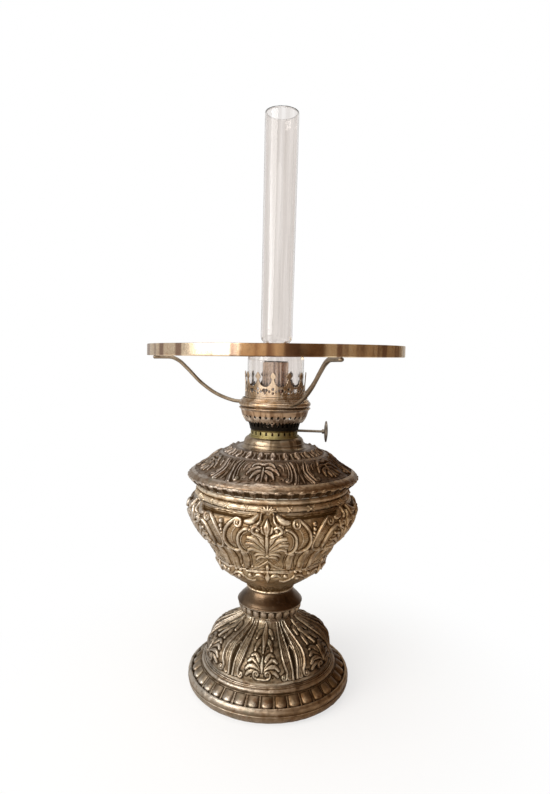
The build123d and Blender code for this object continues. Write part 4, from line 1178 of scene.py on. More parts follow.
@dataclass
class Stand(Assembly):
    """Foot, bead ring, knop and bowl, with the weight and the rod that hold them together.

    Attributes:
        foot_turn: Degrees by which the foot's panels are turned from the front.
        bowl_turn: Degrees by which the bowl's panels are turned from the front.
        valley: How far the radius falls between two lobes of the foot.
        gadroon_step: Degrees from gadroon to gadroon.
        bead_step: Degrees from bead to bead.
    """

    body: str = "stand"
    foot_turn: float = -1.2
    bowl_turn: float = 1.2
    valley: float = 7.0
    gadroon_step: float = 10.0
    bead_step: float = 15.0

    def build(self) -> None:
        """Builds and dresses the stand."""
        self.foot_rim()
        self.foot_dome()
        self.bead_ring()
        self.knop()
        self.bowl_base()
        self.bowl_panels()
        self.bowl_rim()
        self.dress(Metal.IRON.value, "foot_weight")
        self.dress(Metal.STEEL.value, "tie_rod", "tie_nuts", "tie_washers")

    def gadroons(self, offset: np.ndarray, height: np.ndarray, radius: np.ndarray) -> np.ndarray:
        """Tongues that swell down the slope to a round lower end, with two fine lines in each groove.

        Args:
            offset: Degrees off the panel's middle.
            height: Heights.
            radius: Radii.
        Returns:
            Relief in millimetres.
        """
        half = self.gadroon_step / 2
        inmost, outmost = 64.9, 73.3
        lowest, highest = 12.2, 20.3
        across = (np.mod(offset, self.gadroon_step) - half) / half
        down = np.clip((15.2 - height) / 2.9, 0, 1)
        swell = 0.7 + 1.9 * np.clip((20.2 - height) / 6.0, 0, 1) ** 0.8
        reach = np.clip(1 - (across / 0.82) ** 2 - down**2, 0, 1) ** 0.6
        line = np.exp(-(((np.abs(across) - 0.93) / 0.05) ** 2))
        slope = (radius > inmost) & (radius < outmost) & (height > lowest) & (height < highest)
        return np.where(slope, swell * reach + 0.9 * line, 0)

    def foot_rim(self) -> None:
        """Rounded rim with a fine line, gadroons on the slope, and a smooth band between fine lines."""
        outer = join(
            arc((72.2, 0), (76.1, 3.3), (77.5, 7.6)),
            arc((77.3, 7.9), (77.8, 8.5), (77.4, 9.0), 6),
            arc((77.2, 9.3), (77.4, 12.4), (75.8, 15.0)),
            arc((75.5, 15.1), (74.2, 14.5), (73.4, 12.9), 8),
            [(73.1, 12.4), (65.2, 20.0)],
            arc((65.2, 20.2), (65.0, 20.9), (64.3, 20.9), 6),
            arc((64.3, 21.1), (64.2, 23.6), (62.4, 24.8)),
            arc((62.3, 24.9), (62.0, 25.8), (61.3, 25.5), 6),
            [(61.1, 25.1), (60.9, 25.1)],
            arc((60.8, 25.4), (60.5, 26.3), (59.9, 26.0), 6),
            [(56.8, 25.6)],
        )
        inner = [(56.8, 22.9), (60.6, 22.8), (63, 18.4), (71, 10.7), (68.2, 0.0)]

        def shade_and_grime(offset: np.ndarray, height: np.ndarray) -> np.ndarray:
            """Painted shade at the top of the gadroons, under the step."""
            return 0.18 * np.clip((height - 16.5) / 3, 0, 1) * (height < 20.1)

        lathe = Lathe(
            "foot_rim", outer, inner, steps=94, sides=960, turn=self.foot_turn, inner_steps=8, cast=0.08
        )
        self.settle(lathe.build(ripple=self.gadroons, shade_and_grime=shade_and_grime), Metal.CAST.value, "aged_bronze", "foot")

    def foot_lobes(self, offset: np.ndarray, height: np.ndarray) -> np.ndarray:
        """Six lobes: the radius falls with the square of the way from a panel's middle to its edge.

        Args:
            offset: Degrees off the panel's middle.
            height: Heights.
        Returns:
            Change of radius in millimetres.
        """
        depth = np.interp(height, [26, 34, 41, 48, 55, 63, 68.5], [0.2, 0.7, 0.92, 1.0, 0.83, 0.5, 0.14])
        return -self.valley * depth * (offset / HALF_PANEL) ** 2

    def foot_dome(self) -> None:
        """Lobed dome: in each panel curled ribs, a leaf that rises from two scrolls and one that hangs."""
        outer = smooth_path(
            [
                (60.1, 25.8), (60.6, 31), (60.9, 36), (60.4, 41), (57.6, 46), (51.8, 51), (43.6, 55.5),
                (34.4, 60), (27.2, 64.3), (24.2, 67.2), (23.2, 68.5),
            ],
            160,
        )
        inner = [(5, 68.5), (5, 66), (19, 65.9), (34, 51), (48, 36), (50.5, 25.8)]
        ribs = [
            [
                (27.6, 67), (27.0, 61.5), (26.6, 58), (26.4, 54), (26.4, 50), (26.8, 45), (27.4, 40),
                (27.8, 35), (28, 30),
            ],
            [
                (21.5, 67), (20.2, 61.5), (19.4, 58), (18.7, 54), (18.6, 50), (19.4, 45), (21, 40),
                (22.2, 36.8), (21.8, 34),
            ],
        ]
        between = [
            [(a[0] + (b[0] - a[0]) * share, a[1] + (b[1] - a[1]) * share) for a, b in zip(ribs[0], ribs[1])]
            for share in (0.5, 0.28, 0.52, 0.76)
        ]
        leaves = [
            [(1.5, 39.4), (6, 39.8), (10.8, 38.4), (13.6, 34.8)],
            [(1.4, 40.6), (6, 43), (11.2, 42.8), (14.2, 39.8)],
            [(1.2, 41.8), (4.8, 46), (9.4, 47.6), (12.8, 45.6)],
            [(1.0, 43), (3.4, 47.8), (7, 50.4), (10.2, 49.4)],
            [(1.4, 58.4), (4.8, 57.2), (7.8, 54.8), (8.6, 52.4)],
            [(2.2, 62.6), (6, 62), (9.6, 60), (11, 57.8)],
        ]
        eyes = [
            (6.6, 48.2), (9.8, 45.0), (4.6, 53.6), (10.8, 40.5), (2.4, 45.6), (5.6, 59.6), (2.0, 35.4),
            (9.4, 33.6),
        ]
        strokes = [
            Stroke(between[0], (1.8, 3.4, 2.8), 1.4, Form.RIBBON),
            *[Stroke(path, (0.35, 0.45, 0.45), 0.6, Form.GROOVE) for path in between[1:]],
            Stroke(ribs[0], (0.7, 1.1, 1.3), 2.0),
            Stroke(ribs[1], (0.7, 1.2, 1.1), 2.0, curl=(19.4, 33.4, -1.1)),
            dot(19.4, 33.5, 1.3, 2.1),
            Stroke([(27.6, 50.6), (28.8, 52.4), (30, 52.9)], (0.6, 0.9, 0.8), 1.6),
            *[Stroke(path, (0.9, 2.3, 1.3), 1.5, Form.LEAF) for path in leaves],
            Stroke([(0, 39), (0, 44), (0, 49.5)], (0.9, 1.9, 0.7), 1.8, Form.LEAF),
            Stroke([(0, 66.4), (0, 60), (0, 51.4)], (0.8, 2.9, 0.7), 1.9, Form.LEAF),
            Stroke(
                [(0.4, 32.8), (3.4, 32.8), (6.6, 34.6), (7, 37.4)],
                (0.6, 1.0, 0.9), 1.9, curl=(4.6, 37.3, 1.1),
            ),
            dot(4.6, 37.4, 0.9, 1.6),
            *[dot(*eye, 0.95, 1.5, Form.GROOVE) for eye in eyes],
        ]

        def shade_and_grime(offset: np.ndarray, height: np.ndarray) -> np.ndarray:
            """Painted shade, with some dirt, in the valleys between the lobes and round the leaf."""
            round_leaf = np.exp(-(((offset - 8) / 9) ** 2)) * (height < 62)
            return 0.28 * np.clip((offset - 27) / 3, 0, 1) + 0.2 * round_leaf

        lathe = Lathe(
            "foot_dome", outer, inner, steps=95, sides=960, turn=self.foot_turn, inner_steps=7, cast=0.14
        )
        piece = lathe.build(strokes, lobes=self.foot_lobes, shade_and_grime=shade_and_grime)
        self.settle(piece, Metal.DOME.value, "aged_bronze", "foot")

    def bead_ring(self) -> None:
        """Ring of eggs between two fine lines."""
        outer = join(
            [(23.0, 68.5), (23.9, 69.2), (23.5, 70.0)],
            arc((23.6, 70.1), (27.1, 73.6), (28.3, 78.2), 24),
            arc((28.6, 78.5), (30.3, 79.0), (30.4, 80.0)),
        )
        inner = [(20, 80), (20, 71.5), (10, 71.5), (5, 71.5), (5, 68.5)]
        eggs = row(self.bead_step, self.bead_step / 2, (71.2, 74.4, 77.4), (1.8, 3.3, 3.0), 2.2)
        darts = row(self.bead_step, 0, (70.8, 78), (0.25, 0.3, 0.4), 0.9)
        lathe = Lathe("bead_band", outer, inner, steps=60, sides=720, cast=0.1)
        self.settle(lathe.build(darts + eggs), Metal.CAST.value, "aged_bronze", "bead_ring")

    def knop(self) -> None:
        """Smooth spun dome with a turned line at its foot and a fillet at its neck."""
        outer = join(
            arc((30.7, 80), (31.2, 80.8), (30.8, 81.6)),
            smooth_path([(30.5, 81.8), (28.7, 84), (26.6, 86), (24.6, 88), (23.0, 90), (21.9, 92.2)], 30),
            arc((21.8, 92.4), (22.4, 93.0), (22.0, 93.5)),
        )
        inner = [(5, 93.5), (5, 91.7), (19, 91.7), (24, 87), (28.5, 82), (29, 80)]
        lathe = Lathe("knop_dome", outer, inner, steps=60, sides=144)
        self.settle(lathe.build(), Metal.DARK.value, "dark_bronze", "knop")

    def bowl_base(self) -> None:
        """Underside of the bowl: a light foot ring, a smooth flare and a row of leaves on the small bulge."""
        outer = join(
            arc((22.0, 93.5), (22.9, 94.4), (22.3, 95.3), 8),
            smooth_path(
                [
                    (22.4, 95.6), (24.0, 98), (26.3, 100), (29.1, 102), (32.2, 104), (38.0, 108), (43.4, 112),
                    (48.6, 116), (51.2, 119), (52.5, 122), (53.0, 125), (53.5, 127.5),
                ],
                120,
            ),
        )
        inner = [(51, 127.5), (50, 122), (45, 115), (36, 108.6), (20, 97), (5, 97), (5, 93.5)]
        strokes = [
            Stroke([(1.2, 119.6), (5, 122.6), (9.6, 123.2), (12.8, 121.4)], (0.6, 1.6, 0.6), 1.3, Form.LEAF),
            Stroke(
                [(12, 117.8), (16.4, 116.8), (20.4, 117.8), (23.6, 120.2)],
                (0.6, 1.5, 0.6), 1.2, Form.LEAF,
            ),
            dot(17.2, 122.2, 1.8, 1.4),
            Stroke([(24, 119.8), (27, 122), (30, 122.6)], (0.7, 1.5, 1.2), 1.2),
            dot(30, 118.8, 2.0, 1.3),
            dot(27.4, 125.6, 1.6, 1.3),
            Stroke([(0, 125.8), (0, 121), (0, 116.6)], (0.7, 2.4, 0.4), 1.5, Form.LEAF),
            Stroke([(4, 126.0), (12, 125.6), (21, 125.4)], (0.5, 0.5, 0.5), 0.8),
        ]

        def shade_and_grime(offset: np.ndarray, height: np.ndarray) -> np.ndarray:
            """Painted shade on the underside."""
            return 0.22 * np.clip((112 - height) / 8, 0, 1) * (height > 95.4)

        lathe = Lathe(
            "bowl_base", outer, inner, steps=86, sides=816, turn=self.bowl_turn, inner_steps=12, cast=0.16
        )
        piece = lathe.build(strokes, ornament_from=113.0, shade_and_grime=shade_and_grime)
        self.settle(piece, Metal.CHASED.value, "aged_bronze", "bowl")

    def palmette(self) -> list[Stroke]:
        """Wide overlapping lobes either side of a tall leaf, with a round scroll near its head.

        Returns:
            The strokes of one half panel.
        """
        lobe = (0.8, 2.6, 1.5)
        fans = [
            [(1.2, 149), (5.4, 151.6), (9.4, 153), (12.8, 151.8)],
            [(1.1, 150.6), (5.2, 155.2), (9.6, 158.2), (13.2, 158)],
            [(0.9, 152.6), (4.4, 159), (8.4, 163.4), (11.8, 164.4)],
            [(0.7, 155), (2.6, 161.6), (4.6, 166), (6.6, 167.4)],
        ]
        veins = [
            [(1.2, 150), (6, 153.4), (10.6, 155.7), (13.6, 155)],
            [(1.2, 151.6), (6, 157.2), (10.6, 160.9), (13.2, 161.2)],
            [(0.9, 154), (3.6, 161), (6.4, 165.2), (9.4, 166.6)],
        ]
        eyes = [(9.6, 161.4), (11.4, 155.2), (6.8, 165.9), (3.4, 169.4), (10.2, 149.4)]
        return [
            *[Stroke(path, (0.4, 1.0, 0.6), 1.5) for path in veins],
            *[Stroke(path, lobe, 2.0, Form.LEAF) for path in fans],
            Stroke(
                [(2.6, 165.6), (5.2, 167.6), (8.2, 169.4), (9.0, 172.2), (6.8, 174.4), (4.6, 173)],
                (0.9, 1.6, 1.2), 2.0,
            ),
            dot(5.9, 171.2, 1.7, 1.5),
            *[dot(*eye, 0.85, 1.4, Form.GROOVE) for eye in eyes],
            Stroke([(0, 148), (0, 156), (0, 164), (0, 170)], (0.9, 1.8, 1.2), 2.2, Form.LEAF),
            Stroke([(0.6, 168), (2.6, 171), (3.2, 174.2)], (0.8, 1.6, 0.6), 1.9, Form.LEAF),
            Stroke([(0, 167.6), (0, 173.6), (0, 180.4)], (1.2, 3.2, 0.5), 2.4, Form.LEAF),
            Stroke([(1.0, 146.4), (4.2, 147.6), (7.4, 147), (9.8, 145)], (0.7, 1.8, 0.8), 1.8, Form.LEAF),
            Stroke([(0.8, 143.2), (3.6, 143.8), (6.6, 142.6), (8.6, 140.4)], (0.7, 1.8, 0.8), 1.8, Form.LEAF),
            dot(0, 145, 1.8, 2.1),
        ]

    def scrolls(self) -> list[Stroke]:
        """Two nested C-scrolls, the outer one closed round a hatched hollow, with the swag above them.

        Returns:
            The strokes of one half panel.
        """
        fine = (0.35, 0.45, 0.35)
        return [
            Stroke([(9, 181), (16, 180.4), (24, 180.8), (30, 181)], (1.2, 1.8, 1.8), 1.0, Form.GROOVE),
            Stroke(
                [(22.6, 152.8), (25.2, 157), (25.2, 163), (23.4, 169), (20.6, 172.6)],
                (1.4, 2.6, 1.2), 0.45, Form.HATCHED,
            ),
            Stroke([(22.2, 153.4), (23.6, 158), (23.2, 164), (21.4, 169.4), (19.6, 172.4)], fine, 0.8),
            Stroke(
                [
                    (19.6, 150.8), (22.4, 149.8), (26, 151), (28.6, 155), (29.2, 160), (28, 166),
                    (25.8, 171.6), (22.6, 176.6), (19.4, 179.2), (16.8, 178.6),
                ],
                (0.9, 1.5, 1.1),
                2.3,
                curl=(18.4, 176.3, 1.2),
            ),
            dot(18.4, 176.3, 1.4, 2.4),
            Stroke(
                [(12, 169.6), (14.6, 167.4), (16.6, 163.4), (17.4, 158.6), (17, 153.6), (15.4, 151.4)],
                fine, 0.8,
            ),
            Stroke(
                [
                    (9.8, 171.4), (12.8, 172.2), (15.8, 169.8), (18.1, 165.4), (19.2, 159.6), (19.2, 153.8),
                    (17.6, 150), (14.8, 148.6), (13.2, 150),
                ],
                (1.4, 1.3, 1.0),
                2.1,
            ),
            dot(9.9, 171.2, 1.9, 2.3),
            Stroke([(6.4, 182.4), (8, 180.4), (10.6, 178.4), (13.4, 178)], (2.4, 3.0, 1.6), 1.9),
            Stroke([(8.5, 183.2), (14, 182.6), (20, 182.7), (25, 183.2), (30, 183.6)], (0.6, 0.6, 0.6), 1.2),
            Stroke(
                [(2.0, 184.2), (3.9, 183.6), (4, 181.2), (4.3, 178.6), (6.4, 176), (9.6, 174.2)],
                (0.9, 1.1, 1.1), 2.3,
            ),
            *[
                dot(30, height, size, 2.2)
                for height, size in ((175.6, 2.1), (171.6, 1.8), (168.2, 1.5), (165.4, 1.2), (163, 0.9))
            ],
        ]

    def lower_field(self) -> list[Stroke]:
        """Tongues between grooves, a lattice and a pair of fine lines under the palmette.

        Returns:
            The strokes of one half panel.
        """
        thin = (0.5, 0.6, 0.5)
        cross = (0.35, 0.4, 0.35)
        groove = (0.6, 0.8, 0.5)
        return [
            Stroke([(18.4, 147), (18.2, 140), (18.8, 133), (19.4, 128.6)], (2.4, 3.3, 2.0), 1.8),
            Stroke([(30, 149), (29.6, 140), (29, 133), (28.4, 128)], (2.2, 3.0, 1.6), 1.9),
            Stroke([(14.6, 147), (13.6, 142), (13.8, 135), (14.8, 130.5)], groove, 0.9, Form.GROOVE),
            Stroke([(22.4, 147), (22.8, 140), (23.8, 133), (25, 129)], groove, 0.9, Form.GROOVE),
            Stroke([(3, 139.6), (7.4, 134.4)], cross, 0.7),
            Stroke([(6, 140.4), (10.4, 134.8)], cross, 0.7),
            Stroke([(4.2, 135.6), (9.8, 140)], cross, 0.7),
            Stroke([(0, 138.6), (4, 134.8), (8, 132.2), (12.6, 131)], (0.6, 0.7, 0.6), 1.2),
            Stroke([(0, 132.6), (0, 129.4)], (1.4, 1.8, 1.3), 2.0),
            Stroke([(3, 129.8), (12, 129.1), (20, 128.8)], thin, 0.9),
        ]

    def bowl_panels(self) -> None:
        """Belly of the bowl: six panels of scrolls and leaves."""
        outer = smooth_path(
            [
                (53.1, 127.2), (54.3, 130.2), (56.5, 134), (58.4, 138), (60.8, 142), (64.4, 146), (68.2, 150),
                (71.4, 154), (74.0, 158), (76.2, 162), (77.8, 166), (79.0, 170), (79.5, 174), (78.9, 177.4),
                (76.6, 180.4), (74.4, 182.6), (72.4, 184.8),
            ],
            180,
        )
        inner = [(70.4, 184.8), (77.0, 176), (77.0, 170), (70, 156), (58, 140), (51.3, 127.2)]
        strokes = self.lower_field() + self.scrolls() + self.palmette()

        def shade_and_grime(offset: np.ndarray, height: np.ndarray) -> np.ndarray:
            """Painted shade under the swag and in the narrow field between two panels."""
            under = np.exp(-(((height - 181) / 2.2) ** 2)) * np.clip((offset - 8) / 4, 0, 1)
            return 0.28 * under + 0.14 * np.clip((offset - 26) / 4, 0, 1)

        lathe = Lathe(
            "bowl_panels", outer, inner, steps=95, sides=960, turn=self.bowl_turn, inner_steps=7, cast=0.14
        )
        self.settle(lathe.build(strokes, shade_and_grime=shade_and_grime), Metal.CHASED.value, "aged_bronze", "bowl")

    def bowl_rim(self) -> None:
        """Reed band tied with ribbon under a plain rounded rim."""
        outer = join(
            [(71.4, 184.2), (72.0, 184.7)],
            arc((72.0, 184.9), (73.1, 187.4), (71.9, 189.9), 24),
            [(71.2, 190.2), (70.9, 190.5), (71.1, 190.9)],
            arc((71.2, 191.0), (72.2, 193.0), (71.6, 195.0), 20),
            [(71.3, 195.3)],
        )
        inner = [(68.5, 195.3), (68.5, 190), (69.4, 184.2)]
        low, high = 185.0, 189.9
        fan = [
            [(0, 185.2), (0, 189.8)],
            [(0.5, 185.2), (2.6, 189.4)],
            [(0.9, 185.2), (4.6, 188.2)],
            [(1.2, 185.2), (5.8, 186.4)],
        ]
        strokes = [
            *[Stroke(path, (0.6, 1.1, 0.8), 1.2, Form.LEAF) for path in fan],
            *[Stroke([(27.2, end), (30, 187.4)], (0.5, 0.6, 0.5), 0.9) for end in (189.8, 185.2)],
            dot(30, 187.4, 1.3, 1.2),
            Stroke([(13.4, 185.2), (14.6, 187.4), (13.4, 189.6)], (0.4, 0.5, 0.4), 0.8),
            Stroke([(16.6, 185.2), (15.4, 187.4), (16.6, 189.6)], (0.4, 0.5, 0.4), 0.8),
        ]

        def reeds(offset: np.ndarray, height: np.ndarray, radius: np.ndarray) -> np.ndarray:
            """Three fine reeds along the band."""
            wave = np.abs(np.sin((height - low) / (high - low) * 3 * math.pi))
            return np.where((height > low) & (height < high) & (offset > 6), 0.22 * wave, 0)

        lathe = Lathe(
            "bowl_rim", outer, inner, steps=60, sides=720, turn=self.bowl_turn, inner_steps=6, cast=0.07
        )
        self.settle(lathe.build(strokes, reeds), Metal.LIT_RIM.value, "aged_bronze", "bowl")


@dataclass
class Font(Assembly):
    """Oil font: tank, panelled cover and turned collar.

    Attributes:
        cover_turn: Degrees by which the cover's panels are turned from the front.
        egg_step: Degrees from egg to egg of the crown.
        scallop_step: Degrees from scallop to scallop of the under-edge.
    """

    body: str = "font"
    cover_turn: float = -4.0
    egg_step: float = 15.0
    scallop_step: float = 7.5

    def build(self) -> None:
        """Builds and dresses the font."""
        self.cover_edge()
        self.cover_panels()
        self.cover_crown()
        self.collar()
        self.dress(Metal.TINNED.value, "oil_tank")

    def cover_edge(self) -> None:
        """Scalloped under-edge, rounded lip and smooth band of the lid."""
        outer = join(
            arc((71.3, 196.3), (75.6, 198.3), (79.0, 201.8), 30),
            arc((79.2, 202.0), (80.5, 203.2), (79.8, 204.5), 12),
            arc((79.6, 204.8), (77.9, 206.8), (74.6, 208.6), 16),
        )
        inner = [(72.6, 207.4), (74.2, 203.6), (68.4, 199.6), (68.2, 196.3)]
        scallops = row(
            self.scallop_step, self.scallop_step / 2, (197.2, 199.6, 201.6), (1.4, 3.0, 3.4), 0.9, Form.LEAF
        )

        def shade_and_grime(offset: np.ndarray, height: np.ndarray) -> np.ndarray:
            """Painted shade on the scallops under the lip."""
            return 0.42 * (height < 202.2)

        lathe = Lathe(
            "cover_edge", outer, inner, steps=74, sides=960, turn=self.cover_turn, inner_steps=8, cast=0.1
        )
        self.settle(lathe.build(scallops, shade_and_grime=shade_and_grime), Metal.LIP.value, "aged_bronze", "font_cover")

    def cover_panels(self) -> None:
        """Six leaf panels between curled ribs."""
        outer = smooth_path(
            [
                (74.8, 208.4), (71.4, 210), (68.0, 212), (64.7, 214), (61.9, 216), (59.8, 218), (57.7, 220),
                (54.8, 222), (51.6, 223.6), (48.6, 224.6),
            ],
            120,
        )
        inner = [(48.4, 222.4), (56, 218.4), (66, 210), (73.0, 207.4)]
        ribs = [
            [(23, 209), (24.4, 211), (25.6, 214), (26, 217.5), (25.2, 220.5), (23.5, 223)],
            [(24.8, 209), (26.4, 211.4), (27.6, 214.4), (27.8, 217.6), (27, 220.4)],
            [(21, 223), (22.5, 219.5), (22.8, 216), (21.8, 212.6), (20.6, 210.4)],
            [(19, 222.8), (20.5, 219.5), (20.7, 216), (19.7, 213)],
        ]
        lobes = [
            [(2.2, 219.6), (6.6, 219.4), (10.6, 217.4), (12.6, 214.6)],
            [(0.6, 217.4), (4.2, 216.6), (7.2, 214.6), (8.6, 212)],
            [(0.4, 215.4), (2.6, 213.4), (3.6, 211)],
        ]
        eyes = [(6.0, 217.8), (10.2, 214.8), (4.4, 214.2), (12.6, 218.6), (7.4, 211.0), (14.2, 211.8)]
        strokes = [
            Stroke(ribs[0], (1.3, 1.4, 0.7), 1.4),
            Stroke(ribs[1], (0.5, 0.6, 0.5), 0.8),
            Stroke(ribs[2], (0.7, 1.0, 0.9), 1.3, curl=(18.8, 211.1, -1.1)),
            Stroke(ribs[3], (0.5, 0.6, 0.5), 0.7),
            dot(18.8, 211.2, 1.1, 1.2),
            Stroke([(30, 209.6), (30, 213), (30, 218), (30, 222.6)], (0.6, 2.2, 0.6), 0.9, Form.LEAF),
            Stroke([(13.2, 222), (16, 220.6), (16.8, 217.6)], (0.5, 1.2, 0.6), 0.7),
            *[Stroke(path, (0.8, 2.4, 0.9), 1.2, Form.LEAF) for path in lobes],
            Stroke([(0, 219.5), (0, 214), (0, 210.4)], (0.7, 1.6, 0.5), 1.2, Form.LEAF),
            Stroke([(0.8, 221.6), (4, 222.4), (7.5, 221.6), (9.6, 219.8)], (1.4, 2.2, 1.0), 1.3),
            *[dot(*eye, 0.9, 1.2, Form.GROOVE) for eye in eyes],
        ]

        def shade_and_grime(offset: np.ndarray, height: np.ndarray) -> np.ndarray:
            """Darker all over, and painted shade in the field between two panels below the crown."""
            return 0.12 + 0.25 * np.clip((offset - 26) / 4, 0, 1) * (height < 223)

        lathe = Lathe(
            "cover_panels", outer, inner, steps=88, sides=960, turn=self.cover_turn, inner_steps=6, cast=0.14
        )
        self.settle(lathe.build(strokes, shade_and_grime=shade_and_grime), Metal.LID.value, "aged_bronze", "font_cover")

    def cover_crown(self) -> None:
        """Ring of eggs and darts round the top of the lid."""
        outer = join(
            [(48.8, 224.5), (48.2, 224.9)],
            arc((47.4, 224.8), (43.8, 226.2), (41.0, 228.6), 24),
            [(40.7, 229.3), (40.2, 229.5), (33, 229.5)],
        )
        inner = [(26, 229.5), (26, 224.6), (38, 224.4), (47.5, 222.8)]
        eggs = row(self.egg_step, self.egg_step / 2, (228.2, 226.6, 225.2), (2.4, 3.2, 2.0), 1.5, Form.LEAF)
        darts = row(self.egg_step, 0, (228.4, 225), (0.7, 0.6, 0.4), 1.1)
        lathe = Lathe(
            "cover_crown", outer, inner, steps=60, sides=720, turn=self.cover_turn, inner_steps=8, cast=0.08
        )
        self.settle(lathe.build(darts + eggs), Metal.LID.value, "aged_bronze", "font_cover")

    def collar(self) -> None:
        """Turned neck with a coved foot, a fine line and a domed shoulder."""
        outer = join(
            [(31.0, 229.5)],
            arc((31.0, 229.8), (29.1, 230.9), (28.4, 233.0)),
            arc((28.5, 233.1), (28.9, 233.5), (28.4, 233.9), 6),
            arc((28.3, 234.0), (27.3, 237.4), (24.5, 239.5), 16),
        )
        inner = [(21.9, 239.5), (21.9, 225.6), (25.4, 225.6), (25.4, 229.5)]
        lathe = Lathe("collar_neck", outer, inner, steps=60, sides=192)
        self.settle(lathe.build(), Metal.COLLAR.value, "aged_bronze", "font_collar")


@dataclass
class Burner(Assembly):
    """Round-wick burner: base, air screen, basket, gallery and tubes.

    Attributes:
        prong_step: Degrees from prong to prong of the gallery.
        crown_radius: Radius of the gallery.
        teeth: Points of the basket's pinked edge.
        diamonds: Openings of the basket.
        basket_radius: Radius of the basket at its openings.
    """

    body: str = "burner"
    prong_step: float = 30.0
    crown_radius: float = 28.4
    teeth: int = 52
    diamonds: int = 34
    basket_radius: float = 30.0

    def build(self) -> None:
        """Builds the gallery and the basket and dresses the burner."""
        self.gallery()
        self.basket()
        self.dress(Metal.YELLOW.value, "burner_base", "spindle_bushes", "tube_plate")
        self.dress(Metal.BURNT.value, "air_screen")
        self.dress(Metal.COPPER.value, "wick_tube", "draught_tube")
        self.dress(Metal.KNOB.value, "wick_spindle", "wick_knob")
        self.dress(Metal.STEEL.value, "wick_wheels")
        self.dress(Weave(), "wick")

    def prongs(self, angle: np.ndarray, height: np.ndarray) -> np.ndarray:
        """Outline of the gallery: spade-headed prongs with round gaps between them, hearts and small holes.

        Args:
            angle: Degrees round the axis.
            height: Heights.
        Returns:
            Millimetres to the nearest cut, above zero in the metal.
        """
        pitch = self.prong_step / 2
        off = np.abs(np.mod(angle, self.prong_step) - pitch)
        prong = DEGREE * self.crown_radius * off
        gap = DEGREE * self.crown_radius * (pitch - off)
        levels = [287.2, 287.7, 288.6, 290, 291.6, 293.2, 294.4, 295.2, 296, 297, 298, 299, 300, 300.8]
        halves = [9.0, 5.4, 3.9, 2.7, 1.8, 1.2, 1.0, 1.6, 2.4, 2.7, 2.3, 1.5, 0.8, 0.0]
        metal = np.interp(height, levels, halves) - prong
        heart_lobes = np.hypot(gap - 1.3, height - 284.4) - 1.45
        heart_point = np.maximum(0.75 * (gap - 2.7 * (height - 280.4) / 4.0), height - 284.6)
        hole = np.hypot(prong, height - 285.6) - 1.25
        pip = np.hypot(prong - 3.3, (height - 283.2) * 0.7) - 0.95
        low_pip = np.hypot(prong, height - 281.8) - 1.1
        return np.minimum.reduce([metal, heart_lobes, heart_point, hole, pip, low_pip])

    def gallery(self) -> None:
        """Pierced band with spade-headed prongs on a plain band with the seat of the chimney."""
        crown = np.asarray([(28.4, 278.6), (28.4, 288.2), (28.7, 294.5), (29.1, 300.8)])
        pierced = Pierced("gallery_prongs", crown, steps=80, sides=576, wall=0.9, turn=15.0)
        self.settle(pierced.build(self.prongs), Metal.ROSE.value, "rose_brass", "gallery_crown")
        outer = join(
            [(29.2, 267.6), (29.2, 268.8), (28.4, 269.0), (28.4, 278.2)],
            arc((28.45, 278.3), (28.8, 278.7), (28.4, 279.1), 6),
        )
        inner = [(27.6, 280.8), (19.0, 280.8), (19.0, 279.8), (27.4, 279.8), (27.4, 267.6)]
        lathe = Lathe("gallery_band", outer, inner, steps=40, sides=144)
        self.settle(lathe.build(), Metal.ROSE.value, "rose_brass", "gallery_crown")

    def pinking(self, angle: np.ndarray, height: np.ndarray) -> np.ndarray:
        """Outline of the basket: a pinked lower edge and a row of upright diamonds above it.

        Args:
            angle: Degrees round the axis.
            height: Heights.
        Returns:
            Millimetres to the nearest cut, above zero in the metal.
        """
        edge_level, tooth_height, diamond_level = 253.6, 2.1, 259.4
        tooth = np.abs(np.mod(angle / 360 * self.teeth, 1) - 0.5) * 2
        edge = 0.7 * (height - edge_level - tooth_height * tooth)
        off = np.abs(np.mod(angle, 360 / self.diamonds) - 180 / self.diamonds)
        across = off * DEGREE * self.basket_radius
        diamond = 0.75 * (across / 0.8 + np.abs(height - diamond_level)) - 1.35
        return np.minimum(edge, diamond)

    def basket(self) -> None:
        """Pierced bowl with a rolled lip and the deck that closes it."""
        bowl = smooth_path(
            [
                (27.0, 253.4), (28.6, 255.6), (30.4, 259), (31.4, 262), (32.1, 264.6), (32.9, 265.8),
                (33.7, 266.3),
            ],
            60,
        )
        pierced = Pierced("basket_bowl", bowl, steps=48, sides=624, wall=0.8)
        self.settle(pierced.build(self.pinking), Metal.BASKET.value, "rose_brass", "burner_basket")
        lip = arc((33.0, 266.0), (33.95, 266.7), (33.2, 267.5), 10)
        deck = [(32.8, 267.6), (19.0, 267.6), (19.0, 266.8), (32.6, 266.8), (32.4, 266.0)]
        lathe = Lathe("basket_deck", lip, deck, steps=16, sides=144)
        self.settle(lathe.build(), Metal.ROSE.value, "rose_brass", "burner_basket")


